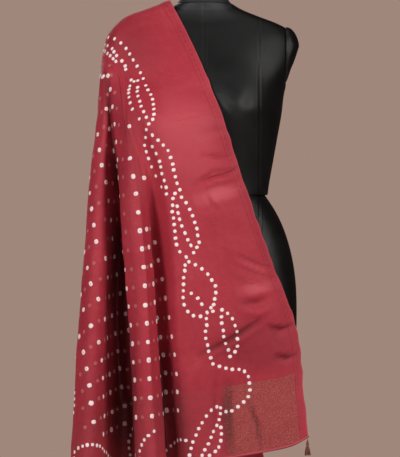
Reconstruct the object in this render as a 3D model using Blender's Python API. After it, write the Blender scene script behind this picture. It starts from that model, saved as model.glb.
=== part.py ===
"""Dupatta stole draped over one shoulder of a limbless dress form on a stand.

The stole is a rectangle of woven cloth. Its middle lies over the right shoulder of the form, its
front and back falls hang as panels and folds that open out below the shoulder tip, and its outer
selvage drops as a cascade at the side. The frame stands on Z = 0 with the pole on the Z axis, the
front of the form faces -Y, and the covered shoulder is at -X.
"""
import math

import bpy
import numpy as np

MM = 0.001

# Driving sizes, in metres.
SEAM_GAP = 0.0004          # clear gap between neighbouring pieces
CLOTH = 0.0012             # thickness of the cloth wall
ROLLED_HEM = 0.0019        # thickness of the rolled hem
HEM_DEPTH = 0.006          # height of the rolled hem
HEM_ROLL = ((0.0, 0.64), (0.4, 1.0), (1.0, 0.6))  # share of its height, share of its thickness
RIM_HEIGHT = 1.374         # where the hanging cloth leaves the shoulder
LOW_HEIGHT = 0.771         # height at which the side and back folds are measured
TASSELS = 8                # on each end
TASSEL_LENGTH = 0.032
TASSEL_INSET = 0.004       # share of the hem left beyond the first and last tassel
TASSEL_DROP = 0.0022       # from the middle of the hem's lower edge to the top of a tassel
SUBDIVISIONS = 2           # wall facets between two fold lines
BODY_ROWS = 10             # wall facets down a fold, above the end band
BAND_ROWS = 2              # and inside the end band
BAND_SHARE = 0.183         # share of a fold's drop that the end band takes

# Heights at which the front fold lines are measured.
FRONT_LEVELS = (1.374, 1.296, 1.217, 1.036, 0.901, 0.771)

# Front fold lines from the inner selvage to the side outline, in millimetres.
# name, x at each level, y at each level, height of the cloth's end
FRONT_LINES = (
    ("inner_selvage", (5, 35, 60, 123, 173, 187), (-96, -138, -132, -112, -98, -104), 705),
    ("edge_side", (-17, 13, 39, 100, 141, 153), (-98, -146, -142, -128, -118, -116), 688),
    ("panel_right", (-45, -17, 7, 63, 89, 100), (-98, -150, -150, -142, -136, -128), 677),
    ("panel_middle", (-77, -54, -30, 18, 33, 41), (-94, -152, -154, -152, -148, -138), 667),
    ("panel_left", (-107, -85, -59, -19, -11, -4), (-86, -149, -156, -158, -156, -146), 660),
    ("panel_ridge", (-128, -110, -80, -48, -43, -35), (-79, -142, -153, -158, -158, -150), 655),
    ("valley_one", (-141, -127, -98, -76, -69, -58), (-73, -132, -142, -124, -119, -116), 652),
    ("ridge_turn", (-152, -140, -117, -96, -87, -78), (-67, -122, -147, -154, -158, -158), 648),
    ("front_ridge", (-162, -151, -136, -113, -105, -98), (-62, -112, -143, -166, -172, -172), 645),
    ("front_flank", (-173, -167, -159, -142, -132, -125), (-58, -92, -108, -122, -128, -130), 640),
    ("valley_two", (-180, -176, -171, -163, -160, -156), (-54, -74, -74, -72, -74, -78), 628),
    ("side_turn", (-186, -181, -180, -178, -183, -184), (-51, -78, -86, -102, -112, -118), 612),
    ("side_ridge", (-190, -189, -192, -198, -205, -210), (-49, -76, -90, -118, -134, -142), 595),
    ("outline", (-195, -201, -211, -225, -235, -242), (-42, -58, -68, -86, -98, -104), 560),
)

# Side fold lines from front to back, in millimetres: name, x and y at LOW_HEIGHT, end height.
# Their upper ends share out the edge of the shoulder stretch.
SIDE_LINES = (
    ("side_valley_1", -202, -74, 525),
    ("side_fold_2", -236, -56, 470),
    ("side_valley_2", -195, -38, 425),
    ("side_fold_3", -236, -18, 400),
    ("side_valley_3", -189, 4, 610),
    ("side_fold_4", -236, 24, 760),
    ("side_valley_4", -186, 44, 785),
    ("side_fold_5", -228, 68, 680),
)

# Back fold lines from the side to the inner selvage, in millimetres:
# name, x and y at the rim, x and y at LOW_HEIGHT, end height
BACK_LINES = (
    ("back_valley_5", -195, 42, -176, 78, 430),
    ("back_fold_6", -191, 50, -210, 112, 130),
    ("back_valley_6", -186, 56, -152, 108, 160),
    ("back_fold_7", -179, 61, -168, 150, 190),
    ("back_valley_7", -170, 66, -118, 126, 215),
    ("back_fold_8", -159, 71, -118, 164, 235),
    ("back_valley_8", -146, 76, -76, 131, 255),
    ("back_fold_9", -130, 82, -60, 158, 280),
    ("back_panel_a", -110, 86, -36, 153, 305),
    ("back_panel_b", -88, 92, -10, 150, 330),
    ("back_panel_c", -66, 97, 18, 146, 360),
    ("back_panel_d", -42, 101, 46, 140, 390),
    ("back_panel_e", -20, 104, 72, 133, 420),
    ("back_selvage", 2, 106, 96, 124, 450),
)

# Crest of the cloth over the shoulder, from the neck to the side, in millimetres: x, z.
CREST_LINE = ((-65, 1523), (-112, 1505), (-157, 1486), (-179, 1463), (-190, 1431),
              (-195, 1401), (-197, 1374))

# Dress form sections in millimetres: height, half width, depth in front, depth behind.
BODICE_SECTIONS = (
    (1153, 121, 92, 84), (1176, 124, 94, 84), (1215, 131, 102, 88), (1260, 139, 112, 93),
    (1305, 147, 114, 98), (1345, 152, 108, 101), (1372, 160, 100, 102), (1395, 168, 91, 100),
    (1425, 172, 78, 92), (1450, 170, 65, 80), (1466, 161, 55, 68), (1479, 138, 48, 58),
    (1492, 104, 44, 51), (1505, 72, 42, 47), (1517, 52, 41, 44),
)
HIP_SECTIONS = (
    (764, 166, 101, 116), (800, 170, 103, 118), (860, 174, 106, 122), (920, 176, 107, 125),
    (975, 175, 106, 124), (1020, 170, 103, 119), (1060, 161, 99, 109), (1095, 149, 95, 99),
    (1125, 134, 90, 89), (1151, 117, 86, 80),
)
NECK_SECTIONS = ((1517.4, 51, 40, 43), (1525, 46, 39, 42), (1545, 43, 39, 41), (1600, 43, 39, 41))
BUST_HEIGHT = 1.322
BUST_SPREAD = 0.080        # from the centre line to each bust point
BUST_RISE = 0.020
BUST_RADIUS = 0.052
FORM_SIDES = 40
FORM_FULLNESS = 2.3        # 2 is an ellipse, more is squarer
ARMHOLE = 0.155            # from the centre line to the flat of each armhole
CAP_HEIGHT = 1.4240        # middle of each shoulder cap
CAP_HALF_HEIGHT = 0.056
CAP_SIDES = 24
CAP_TOP_SHARE = 0.86       # of its half height, that a cap rises above its middle
# How full a cap is from its lowest point to its top: share of its half height, share of its rise.
CAP_FULLNESS = ((-1.0, 0.25), (-0.55, 0.45), (-0.05, 0.84), (0.2, 1.0), (0.75, 1.0), (1.0, 1.0))
# Steps of a cap outwards from its armhole: share of its rise, share of its size.
CAP_STEPS = ((0.0, 1.0), (0.20, 0.985), (0.45, 0.90), (0.68, 0.74), (0.86, 0.52), (0.97, 0.25))
CAP_HALF_DEPTH = 0.038
CAP_RISE = 0.027           # how far a cap stands out from its armhole
REST_CLEARANCE = 0.0035    # from the form to the middle of the cloth that lies on it
CREST_HALF_WIDTH = 0.012   # the crest of the cloth keeps its own height within this depth

POLE_RADIUS = 0.014
POLE_SIDES = 20
BASE_HEIGHT = 0.022
# Profiles of the turned stand parts, as radius and height. The collar is measured from the top of
# the base, and the socket downwards from the bottom of the hips.
BASE_PROFILE = ((0.186, 0.0), (0.190, 0.004), (0.190, 0.010), (0.184, 0.015), (0.060, BASE_HEIGHT))
BASE_SIDES = 40
COLLAR_PROFILE = ((0.034, SEAM_GAP), (0.034, 0.012), (0.024, 0.022), (0.024, 0.060))
SOCKET_PROFILE = ((0.030, 0.030), (0.034, 0.0263), (0.060, 0.0063), (0.060, SEAM_GAP))
FITTING_SIDES = 24         # of the collar and of the socket
POLE_GAP = 0.0003          # between each end of the pole and its fitting


def clear_scene():
    for item in list(bpy.data.objects):
        bpy.data.objects.remove(item, do_unlink=True)


def material(name, colour, roughness, metallic=0.0):
    made = bpy.data.materials.new(name)
    made.use_nodes = True
    shader = made.node_tree.nodes["Principled BSDF"]
    shader.inputs["Base Color"].default_value = (*colour, 1.0)
    shader.inputs["Roughness"].default_value = roughness
    shader.inputs["Metallic"].default_value = metallic
    return made


def add_object(name, points, faces, finish):
    mesh = bpy.data.meshes.new(name)
    mesh.from_pydata([tuple(point) for point in points], [], faces)
    mesh.materials.append(finish)
    mesh.shade_smooth()
    mesh.set_sharp_from_angle(angle=math.radians(40))
    made = bpy.data.objects.new(name, mesh)
    bpy.context.scene.collection.objects.link(made)
    return made


# ---------------------------------------------------------------- curves and grids

def through(places, values, at):
    """Smooth curve through values at increasing places, read at each of at; straight past the ends."""
    places = np.asarray(places, float)
    values = np.asarray(values, float)
    shape = values.shape[1:]
    values = values.reshape(len(places), -1)
    steps = np.diff(places)[:, None]
    slopes = np.diff(values, axis=0) / steps
    tangents = np.empty_like(values)
    tangents[0] = slopes[0]
    tangents[-1] = slopes[-1]
    tangents[1:-1] = (slopes[:-1] * steps[1:] + slopes[1:] * steps[:-1]) / (steps[1:] + steps[:-1])
    at = np.asarray(at, float)
    span = np.clip(np.searchsorted(places, at, side="right") - 1, 0, len(places) - 2)
    width = (places[span + 1] - places[span])[:, None]
    t = (at - places[span])[:, None] / width
    inside = np.clip(t, 0.0, 1.0)
    a = 2 * inside ** 3 - 3 * inside ** 2 + 1
    b = inside ** 3 - 2 * inside ** 2 + inside
    c = -2 * inside ** 3 + 3 * inside ** 2
    d = inside ** 3 - inside ** 2
    found = (a * values[span] + b * width * tangents[span]
             + c * values[span + 1] + d * width * tangents[span + 1])
    found += np.where(t < 0, t * width * tangents[span], 0.0)
    found += np.where(t > 1, (t - 1) * width * tangents[span + 1], 0.0)
    return found.reshape((len(at),) + shape)


def arc_fractions(points):
    """Share of the length of a line of points that each point has reached."""
    lengths = np.linalg.norm(np.diff(points, axis=0), axis=1)
    run = np.concatenate(([0.0], np.cumsum(lengths)))
    return run / run[-1]


def grid_normals(grid):
    """Unit normals of a grid of points whose rows run down and whose columns run across."""
    down = np.gradient(grid, axis=0)
    across = np.gradient(grid, axis=1)
    normals = np.cross(down, across)
    return normals / np.linalg.norm(normals, axis=2, keepdims=True)


def pull_in(grid, normals, axis, first, last, amount):
    """Shortens a grid by amount, square to its edge, at its first and last line along an axis."""
    moved = np.moveaxis(grid.copy(), axis, 0)
    facing = np.moveaxis(normals, axis, 0)
    for wanted, edge, inside in ((first, 0, 1), (last, -1, -2)):
        if wanted:
            step = np.cross(np.gradient(moved[edge], axis=0), facing[edge])
            step /= np.linalg.norm(step, axis=1, keepdims=True)
            step *= np.sign(np.sum(step * (moved[inside] - moved[edge]), axis=1))[:, None]
            moved[edge] += amount * step
    return np.moveaxis(moved, 0, axis)


def wall(name, grid, normals, thickness, finish):
    """Closed wall of cloth around a grid of points, half its thickness to each side."""
    rows, columns = grid.shape[:2]
    count = rows * columns
    outer = (grid + normals * thickness / 2).reshape(-1, 3)
    inner = (grid - normals * thickness / 2).reshape(-1, 3)
    points = np.vstack((outer, inner))
    faces = []
    for row in range(rows - 1):
        for column in range(columns - 1):
            a = row * columns + column
            b = a + 1
            c = a + columns + 1
            d = a + columns
            faces.append((a, d, c, b))
            faces.append((a + count, b + count, c + count, d + count))
    rim = [column for column in range(columns)]
    rim += [row * columns + columns - 1 for row in range(1, rows)]
    rim += [(rows - 1) * columns + column for column in range(columns - 2, -1, -1)]
    rim += [row * columns for row in range(rows - 2, 0, -1)]
    for a, b in zip(rim, rim[1:] + rim[:1]):
        # the diagonal follows the point order, so that facing edges of two pieces stay parallel
        if a < b:
            faces += [(a, b, b + count), (a, b + count, a + count)]
        else:
            faces += [(a, b, a + count), (b, b + count, a + count)]
    return add_object(name, points, faces, finish)


# ---------------------------------------------------------------- the draped cloth

def crest_points(shares):
    """Points of the shoulder crest at shares of its length."""
    line = np.array([(x, 0.0, z) for x, z in CREST_LINE]) * MM
    return through(arc_fractions(line), line, shares)


def shoulder_grid(front, front_slopes, back, back_slopes, rows):
    """Cloth over the shoulder: one arch from the front rim over the crest to the back rim in each
    column, ending in the arch that lies round the side of the shoulder."""
    shares = arc_fractions(front)
    crest = crest_points(shares)
    grid = np.empty((rows + 1, len(front), 3))
    for column, share in enumerate(shares):
        turn = share ** 4
        for row in range(rows + 1):
            place = row / rows
            if place <= 0.5:
                start, slope, t = front[column], front_slopes[column], place * 2
            else:
                start, slope, t = back[column], back_slopes[column], (1 - place) * 2
            end = crest[column]
            reach = np.linalg.norm(end - start)
            sideways = np.array((end[0] - start[0], 0.0, end[2] - start[2]))
            leave = -slope * (1 - turn) * reach * 1.25 + sideways * turn * 1.6
            arrive = np.array((0.0, (end - start)[1] * 1.5, 0.0))
            a = 2 * t ** 3 - 3 * t ** 2 + 1
            b = t ** 3 - 2 * t ** 2 + t
            c = -2 * t ** 3 + 3 * t ** 2
            d = t ** 3 - t ** 2
            grid[row, column] = a * start + b * leave + c * end + d * arrive
    return grid


def line_positions():
    """Fold lines as arrays: x and y of each line at each level, from rim to low height and beyond,
    as a function of height, and the height where each line ends."""
    front_xy = np.array([list(zip(xs, ys)) for _, xs, ys, _ in FRONT_LINES]) * MM
    front_ends = np.array([end for *_, end in FRONT_LINES]) * MM
    back_rim = np.array([(x, y) for _, x, y, *_ in BACK_LINES]) * MM
    back_low = np.array([(x, y) for *_, x, y, _ in BACK_LINES]) * MM
    back_ends = np.array([end for *_, end in BACK_LINES]) * MM
    side_low = np.array([(x, y) for _, x, y, _ in SIDE_LINES]) * MM
    side_ends = np.array([end for *_, end in SIDE_LINES]) * MM
    return front_xy, front_ends, side_low, side_ends, back_rim, back_low, back_ends


def between_lines(values, subdivisions):
    """Values of fold lines made finer by a smooth curve across them."""
    count = len(values)
    at = np.linspace(0, count - 1, (count - 1) * subdivisions + 1)
    return through(np.arange(count), values, at)


def front_lines_at(front_xy, heights):
    """Position of each front line at given heights, one height for each line."""
    depths = [-level for level in FRONT_LEVELS]
    found = np.empty((len(front_xy), 3))
    for line, height in enumerate(heights):
        found[line, :2] = through(depths, front_xy[line], [-height])[0]
        found[line, 2] = height
    return found


def spread_at(rim, low, heights):
    """Position of side or back lines, which open out evenly from the rim."""
    share = ((RIM_HEIGHT - heights) / (RIM_HEIGHT - LOW_HEIGHT))[:, None]
    xy = rim + (low - rim) * share
    return np.column_stack((xy, heights))


def drape():
    """Grids of the shoulder stretch and of the hanging skirt of cloth, which share their rim."""
    front_xy, front_ends, side_low, side_ends, back_rim, back_low, back_ends = line_positions()
    sub = SUBDIVISIONS
    rim_front = np.full(len(front_xy), RIM_HEIGHT)
    front_top = between_lines(front_lines_at(front_xy, rim_front), sub)
    front_next = between_lines(front_lines_at(front_xy, rim_front - 0.02), sub)
    back_top = between_lines(np.column_stack((back_rim, np.full(len(back_rim), RIM_HEIGHT))), sub)
    back_next = between_lines(spread_at(back_rim, back_low, np.full(len(back_rim), RIM_HEIGHT - 0.02)),
                              sub)

    def slopes(top, below):
        step = below - top
        return step / np.linalg.norm(step, axis=1, keepdims=True)

    side_rows = (len(SIDE_LINES) + 1) * sub
    shoulder = shoulder_grid(front_top, slopes(front_top, front_next), back_top[::-1],
                             slopes(back_top, back_next)[::-1], side_rows)
    side_rim = shoulder[:, -1]

    front_count = (len(front_xy) - 1) * sub + 1
    ends = np.concatenate((front_ends, side_ends, back_ends))
    ends = between_lines(ends[:, None], sub)[:, 0]
    side_rim_lines = side_rim[::sub][1:-1]
    rows = []
    for share in skirt_shares():
        heights = RIM_HEIGHT + (ends - RIM_HEIGHT) * share
        # each row is worked out at the fold lines' own heights, then smoothed across
        line_heights = heights[::sub]
        front = front_lines_at(front_xy, line_heights[:len(front_xy)])
        side_heights = line_heights[len(front_xy):len(front_xy) + len(SIDE_LINES)]
        side = spread_at(side_rim_lines[:, :2], side_low, side_heights)
        back = spread_at(back_rim, back_low, line_heights[len(front_xy) + len(SIDE_LINES):])
        rows.append(between_lines(np.vstack((front, side, back)), sub))
    skirt = np.array(rows)
    skirt[0, front_count - 1:front_count + side_rows] = side_rim
    shoulder = rest_on_form(shoulder)
    skirt = rest_on_form(skirt)
    skirt[0, :front_count] = shoulder[0]
    skirt[0, front_count - 1:front_count + side_rows] = shoulder[:, -1]
    skirt[0, front_count + side_rows - 1:] = shoulder[-1, ::-1]
    return shoulder, skirt


def skirt_shares():
    """Rows of the skirt as shares of its drop; the last two rows hold the end bands."""
    upper = np.linspace(0.0, 1.0 - BAND_SHARE, BODY_ROWS + 1)
    lower = np.linspace(1.0 - BAND_SHARE, 1.0, BAND_ROWS + 1)
    return np.concatenate((upper, lower[1:]))


def piece(name, grid, normals, rows, columns, open_sides, thickness, finish):
    """Wall of one stretch of a grid, shortened where it meets a neighbour: open_sides says which of
    the top, bottom, left and right sides do."""
    part_of = (slice(rows[0], rows[1] + 1), slice(columns[0], columns[1] + 1))
    top, bottom, left, right = (side in open_sides for side in ("top", "bottom", "left", "right"))
    facing = normals[part_of]
    points = pull_in(grid[part_of], facing, 0, top, bottom, SEAM_GAP / 2)
    points = pull_in(points, facing, 1, left, right, SEAM_GAP / 2)
    return wall(name, points, facing, thickness, finish)


def shared_normals(shoulder, skirt):
    """Normals of both grids, made the same along the rim where they meet."""
    over = -grid_normals(shoulder)
    hanging = grid_normals(skirt)
    width = shoulder.shape[1]
    height = shoulder.shape[0]
    rim = np.vstack((over[0], over[1:-1, -1], over[-1, ::-1])) + hanging[0]
    rim /= np.linalg.norm(rim, axis=1, keepdims=True)
    hanging[0] = rim
    over[0] = rim[:width]
    over[:, -1] = rim[width - 1:width - 1 + height]
    over[-1] = rim[width + height - 2:][::-1]
    return over, hanging


def hem_grid(skirt, normals, columns):
    """Rows of points below the end of the cloth, which the rolled hem follows."""
    last = skirt[-1, columns[0]:columns[1] + 1]
    across = normals[-1, columns[0]:columns[1] + 1]
    down = np.cross(np.gradient(last, axis=0), across)
    down /= np.linalg.norm(down, axis=1, keepdims=True)
    down *= np.sign(np.sum(down * (last - skirt[-2, columns[0]:columns[1] + 1]), axis=1))[:, None]
    return np.array([last + down * (SEAM_GAP + HEM_DEPTH * share) for share, _ in HEM_ROLL])


def build_cloth(cloth, metallic, thread):
    """The stole, from the shoulder down, with its end bands, rolled hems and tassels."""
    shoulder, skirt = drape()
    shoulder_normals, skirt_normals = shared_normals(shoulder, skirt)
    sub = SUBDIVISIONS
    side_rows = len(shoulder) - 1
    rim = (0, side_rows)
    piece("shoulder_stretch", shoulder[::-1], shoulder_normals[::-1], rim,
          (0, shoulder.shape[1] - 1), ("top", "bottom", "right"), CLOTH, cloth)
    names = [line[0] for line in FRONT_LINES + SIDE_LINES + BACK_LINES]
    place = {name: sub * index for index, name in enumerate(names)}
    last = skirt.shape[1] - 1
    body = (0, BODY_ROWS)
    band = (BODY_ROWS, BODY_ROWS + BAND_ROWS)
    full = (0, BODY_ROWS + BAND_ROWS)
    corner_front = place["side_fold_3"] - 1
    corner_back = place["back_fold_6"] + 1
    panel_end = place["panel_ridge"] - 1
    outline_end = place["outline"] - 1
    back_panel_start = place["back_panel_b"]
    stretches = (
        ("front_panel", 0, panel_end, body, ("top", "bottom", "right")),
        ("front_folds", panel_end, outline_end, body, ("top", "bottom", "left", "right")),
        ("side_front_folds", outline_end, corner_front, body, ("top", "bottom", "left", "right")),
        ("side_cascade", corner_front, corner_back, full, ("top", "left", "right")),
        ("back_folds", corner_back, back_panel_start, body, ("top", "bottom", "left", "right")),
        ("back_panel", back_panel_start, last, body, ("top", "bottom", "left")),
    )
    for name, first, end, rows, open_sides in stretches:
        piece(name, skirt, skirt_normals, rows, (first, end), open_sides, CLOTH, cloth)
    piece("front_end_band", skirt, skirt_normals, band, (0, corner_front), ("top", "right"), CLOTH,
          metallic)
    piece("back_end_band", skirt, skirt_normals, band, (corner_back, last), ("top", "left"), CLOTH,
          metallic)
    for name, first, end in (("front", 0, corner_front), ("back", corner_back, last)):
        line = hem_grid(skirt, skirt_normals, (first, end))
        across = skirt_normals[-1, first:end + 1]
        rolled = np.array([across * fullness for _, fullness in HEM_ROLL])
        wall(name + "_rolled_hem", line, rolled, ROLLED_HEM, cloth)
        build_tassels(name, line[-1], thread)


def turned(name, profile, sides, finish, centre=(0.0, 0.0, 0.0)):
    """Closed round body from a profile of radius and height, bottom first."""
    points = []
    faces = []
    for radius, height in profile:
        for side in range(sides):
            angle = 2 * math.pi * side / sides
            points.append((centre[0] + radius * math.cos(angle), centre[1] + radius * math.sin(angle),
                           centre[2] + height))
    add_rings(faces, len(profile), sides)
    return add_object(name, points, faces, finish)


def add_rings(faces, rings, sides):
    """Faces that join rings of points, bottom ring first, and close both ends."""
    for ring in range(rings - 1):
        for side in range(sides):
            a = ring * sides + side
            b = ring * sides + (side + 1) % sides
            faces.append((a, b, b + sides, a + sides))
    faces.append(tuple(range(sides - 1, -1, -1)))
    faces.append(tuple((rings - 1) * sides + side for side in range(sides)))


def build_tassels(end_name, line, thread):
    """Tassels at even steps along the lower edge of a rolled hem."""
    shares = arc_fractions(line)
    profile = ((0.0054, -TASSEL_LENGTH), (0.0042, -0.016), (0.0020, -0.0115), (0.0031, -0.0085),
               (0.0020, -0.0060), (0.0008, -0.0050), (0.0008, 0.0))
    for number in range(TASSELS):
        share = TASSEL_INSET + (1 - 2 * TASSEL_INSET) * number / (TASSELS - 1)
        at = through(shares, line, [share])[0]
        turned(f"{end_name}_tassel_{number + 1}", profile, 8, thread,
               (at[0], at[1], at[2] - TASSEL_DROP))


# ---------------------------------------------------------------- the dress form and its stand

def bust_rise(x, height):
    """How far the bust stands out in front of the plain outline."""
    rise = 0.0
    for centre in (-BUST_SPREAD, BUST_SPREAD):
        away = ((x - centre) ** 2 + (height - BUST_HEIGHT) ** 2) / BUST_RADIUS ** 2
        rise += BUST_RISE * math.exp(-away)
    return rise


def form_section(half_width, front, back, height, bust):
    """One level section of the form: a rounded outline, flat at the armholes, fuller at the bust."""
    points = []
    for side in range(FORM_SIDES):
        angle = 2 * math.pi * side / FORM_SIDES
        c = math.cos(angle)
        s = math.sin(angle)
        x = half_width * math.copysign(abs(c) ** (2 / FORM_FULLNESS), c)
        depth = back if s > 0 else front
        y = depth * math.copysign(abs(s) ** (2 / FORM_FULLNESS), s)
        if bust:
            x = min(max(x, -ARMHOLE), ARMHOLE)
            if s < 0:
                y -= bust_rise(x, height)
        points.append((x, y, height))
    return points


def depth_of_body(sections, x, y, height, bust):
    """Distance from the middle plane to the form's surface at x, on the side that y is on."""
    table = np.array(sections) * MM
    if not table[0, 0] <= height <= table[-1, 0]:
        return 0.0
    _, half_width, front, back = through(table[:, 0], table, [height])[0]
    depth = back if y > 0 else front + (bust_rise(x, height) if bust else 0.0)
    across = abs(x) / (half_width + REST_CLEARANCE)
    if across >= 1.0:
        return 0.0
    return (depth + REST_CLEARANCE) * (1.0 - across ** FORM_FULLNESS) ** (1 / FORM_FULLNESS)


def depth_of_cap(x, height):
    """Distance from the middle plane to the surface of a shoulder cap."""
    out = (abs(x) - ARMHOLE) / (CAP_RISE + REST_CLEARANCE)
    up = (height - CAP_HEIGHT) / (CAP_HALF_HEIGHT + REST_CLEARANCE)
    room = 1.0 - max(out, 0.0) ** 2 - up ** 2
    return (CAP_HALF_DEPTH + REST_CLEARANCE) * math.sqrt(max(room, 0.0))


def rest_on_form(grid):
    """Moves the points of a grid that lie inside the form out to its surface, front or back."""
    rested = grid.copy()
    for point in rested.reshape(-1, 3):
        x, y, height = point
        depth = max(depth_of_body(BODICE_SECTIONS, x, y, height, True),
                    depth_of_body(HIP_SECTIONS, x, y, height, False), depth_of_cap(x, height))
        if abs(y) < depth:
            on_crest = abs(y) < CREST_HALF_WIDTH
            point[1] = y if on_crest else math.copysign(depth, y)
    return rested


def form_body(name, sections, finish, bust=False, refine=1):
    """Closed body through level sections, bottom first."""
    table = np.array(sections) * MM
    at = np.linspace(0, len(table) - 1, (len(table) - 1) * refine + 1)
    table = through(np.arange(len(table)), table, at)
    points = []
    for height, half_width, front, back in table:
        points += form_section(half_width, front, back, height, bust)
    faces = []
    add_rings(faces, len(table), FORM_SIDES)
    return add_object(name, points, faces, finish)


def shoulder_cap(name, side, finish):
    """Rounded cap that closes an armhole of the form."""
    root = ARMHOLE + SEAM_GAP
    low_to_high = [place for place, _ in CAP_FULLNESS]
    shares = [share for _, share in CAP_FULLNESS]
    points = []
    for out, size in CAP_STEPS:
        for step in range(CAP_SIDES):
            angle = 2 * math.pi * step / CAP_SIDES
            up = size * math.sin(angle)
            full = float(np.interp(up, low_to_high, shares))
            height = CAP_HALF_HEIGHT * (CAP_TOP_SHARE if up > 0 else 1.0)
            points.append((side * (root + CAP_RISE * out * full),
                           CAP_HALF_DEPTH * size * math.cos(angle), CAP_HEIGHT + height * up))
    faces = []
    add_rings(faces, len(CAP_STEPS), CAP_SIDES)
    if side < 0:
        faces = [tuple(reversed(face)) for face in faces]
    return add_object(name, points, faces, finish)


def build_form(black, grey, metal, enamel):
    form_body("form_bodice", BODICE_SECTIONS, black, bust=True)
    form_body("form_hips", HIP_SECTIONS, black)
    form_body("form_neck", NECK_SECTIONS, grey)
    shoulder_cap("form_cap_left", 1, black)
    shoulder_cap("form_cap_right", -1, black)
    bottom = HIP_SECTIONS[0][0] * MM
    collar = [(radius, BASE_HEIGHT + up) for radius, up in COLLAR_PROFILE]
    socket = [(radius, bottom - down) for radius, down in SOCKET_PROFILE]
    pole = ((POLE_RADIUS, collar[-1][1] + POLE_GAP), (POLE_RADIUS, socket[0][1] - POLE_GAP))
    turned("stand_pole", pole, POLE_SIDES, metal)
    turned("stand_socket", socket, FITTING_SIDES, enamel)
    turned("stand_collar", collar, FITTING_SIDES, enamel)
    turned("stand_base", BASE_PROFILE, BASE_SIDES, enamel)


def main():
    clear_scene()
    cloth = material("maroon_cotton", (0.33, 0.03, 0.05), 0.8)
    metallic = material("zari_band", (0.36, 0.08, 0.07), 0.6, 0.2)
    thread = material("tassel_thread", (0.22, 0.05, 0.05), 0.9)
    black = material("form_jersey", (0.015, 0.015, 0.016), 0.6)
    grey = material("form_neck_cap", (0.09, 0.09, 0.09), 0.5)
    metal = material("pole_steel", (0.6, 0.6, 0.6), 0.3, 1.0)
    enamel = material("base_enamel", (0.02, 0.02, 0.02), 0.4)
    build_cloth(cloth, metallic, thread)
    build_form(black, grey, metal, enamel)


main()
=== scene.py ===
"""Looks of a dupatta stole draped over one shoulder of a dress form.

The cloth is one continuous rectangle of bandhani cotton, 0.86 m wide and 2.05 m long, draped as a
thin shell on the form of its CAD solids. Every point of the drape also has its place on the flat
cloth: u runs across the width from the inner selvage, v along the length from the front hem. The
woven end bands, the tied dots, the stitched selvage, the uneven dye and the painted shade and light
of the folds follow (u, v).
"""
import math

import bpy
import numpy as np
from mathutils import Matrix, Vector
from mathutils.bvhtree import BVHTree


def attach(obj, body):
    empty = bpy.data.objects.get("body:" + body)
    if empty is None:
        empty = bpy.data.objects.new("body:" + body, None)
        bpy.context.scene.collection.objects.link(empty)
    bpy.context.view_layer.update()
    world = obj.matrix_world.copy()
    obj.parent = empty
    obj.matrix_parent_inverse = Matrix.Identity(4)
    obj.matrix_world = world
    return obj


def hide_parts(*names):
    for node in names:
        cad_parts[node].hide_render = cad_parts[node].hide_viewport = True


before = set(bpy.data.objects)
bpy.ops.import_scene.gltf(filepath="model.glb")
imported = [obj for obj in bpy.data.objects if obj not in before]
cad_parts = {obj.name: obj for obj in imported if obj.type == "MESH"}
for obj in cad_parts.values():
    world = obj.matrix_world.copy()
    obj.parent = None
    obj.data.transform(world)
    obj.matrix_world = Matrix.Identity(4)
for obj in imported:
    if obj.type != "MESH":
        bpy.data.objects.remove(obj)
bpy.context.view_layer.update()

MM = 0.001
TINY = 1e-6                 # lengths below this count as nothing
NO_AREA = 1e-14             # and so do areas below this
FAR = 1e9                   # further than anything in the scene
SWELL_SEED, PUCKER_SEED, DOT_SEED = 3, 8, 11
BODY = "root"

# ---- the flat cloth, in metres
WIDTH = 0.86                # across, selvage to selvage
LENGTH = 2.05               # along, hem to hem
CLOTH = 0.0008              # thickness
BAND_INSET = 0.017          # plain margin between the band and the selvage
SIDE_HEM = 0.017            # turned hem along each selvage
STITCH = 0.0105             # one stitch of the turned hem
HEM_DEPTH = 0.006           # rolled end hem
HEM_THICK = 0.0034          # thickness of the rolled hem
TASSELS = 8                 # on each end
TASSEL_LENGTH = 0.032
TASSEL_INSET = 0.004        # share of the hem between its end and the first tassel

# ---- the tied dots, in metres
DOT_SIZE = 0.0067           # side of a dot of the border
FIELD_DOT = 0.0090          # of a dot of the field
FAINT_DOT = 0.0075          # of a half dyed dot between two of the field
DOT_SPACING = 0.0125        # along a chain of dots
PLAIN_MARGIN = 0.215        # from the outer selvage to the last line of the field
FIELD_START = 0.248         # from the inner selvage to the first line of the field
FIELD_LOW = 0.0985          # from the hem to the first row of the field
FIELD_TOP = 0.11            # from the other hem to where the rows end
FIELD_ACROSS = 0.0385       # spacing of the field dots
FIELD_ALONG = 0.0343
FIELD_CLEAR = 0.019         # no dot of the field is this near to a chain
DOT_APART = 0.0075          # no two dots are this near to each other on the flat cloth
DOTS_BEFORE = 60            # how many of the dots before it each dot is checked against
DOT_CLEAR = 0.0068          # dots nearer to each other than this on gathered cloth are left out
DOT_SIDES = 12
DOT_SQUARE = 4.6            # 2 is round, more is squarer
DOT_DRIFT = 0.0018          # how far the dots stray from their even places
DOT_TURN = 0.5              # how far one may be turned against the next, in radians
DOT_SHARES = (0.86, 0.26)   # least length of its side, and how much that varies
DOT_SHADES = 8              # kinds of dot that the finish can tell apart
MISS = 0.0015               # a dot further than this from the drape is left out
GATHERED = 0.5              # share of its flat width below which cloth counts as gathered in
SMALL_STEP = 0.003          # over which directions on the cloth are measured
# Rings of a dot from its rim to its middle: share of its size, share of its rise.
DOT_RINGS = ((1.0, 0.0), (0.62, 1.0), (0.0, 0.7))
DOT_CHART = 0.45            # size of a dot on its UV map
DOT_RIM = 0.00004           # how far the rim of a dot stands off the cloth

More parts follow.
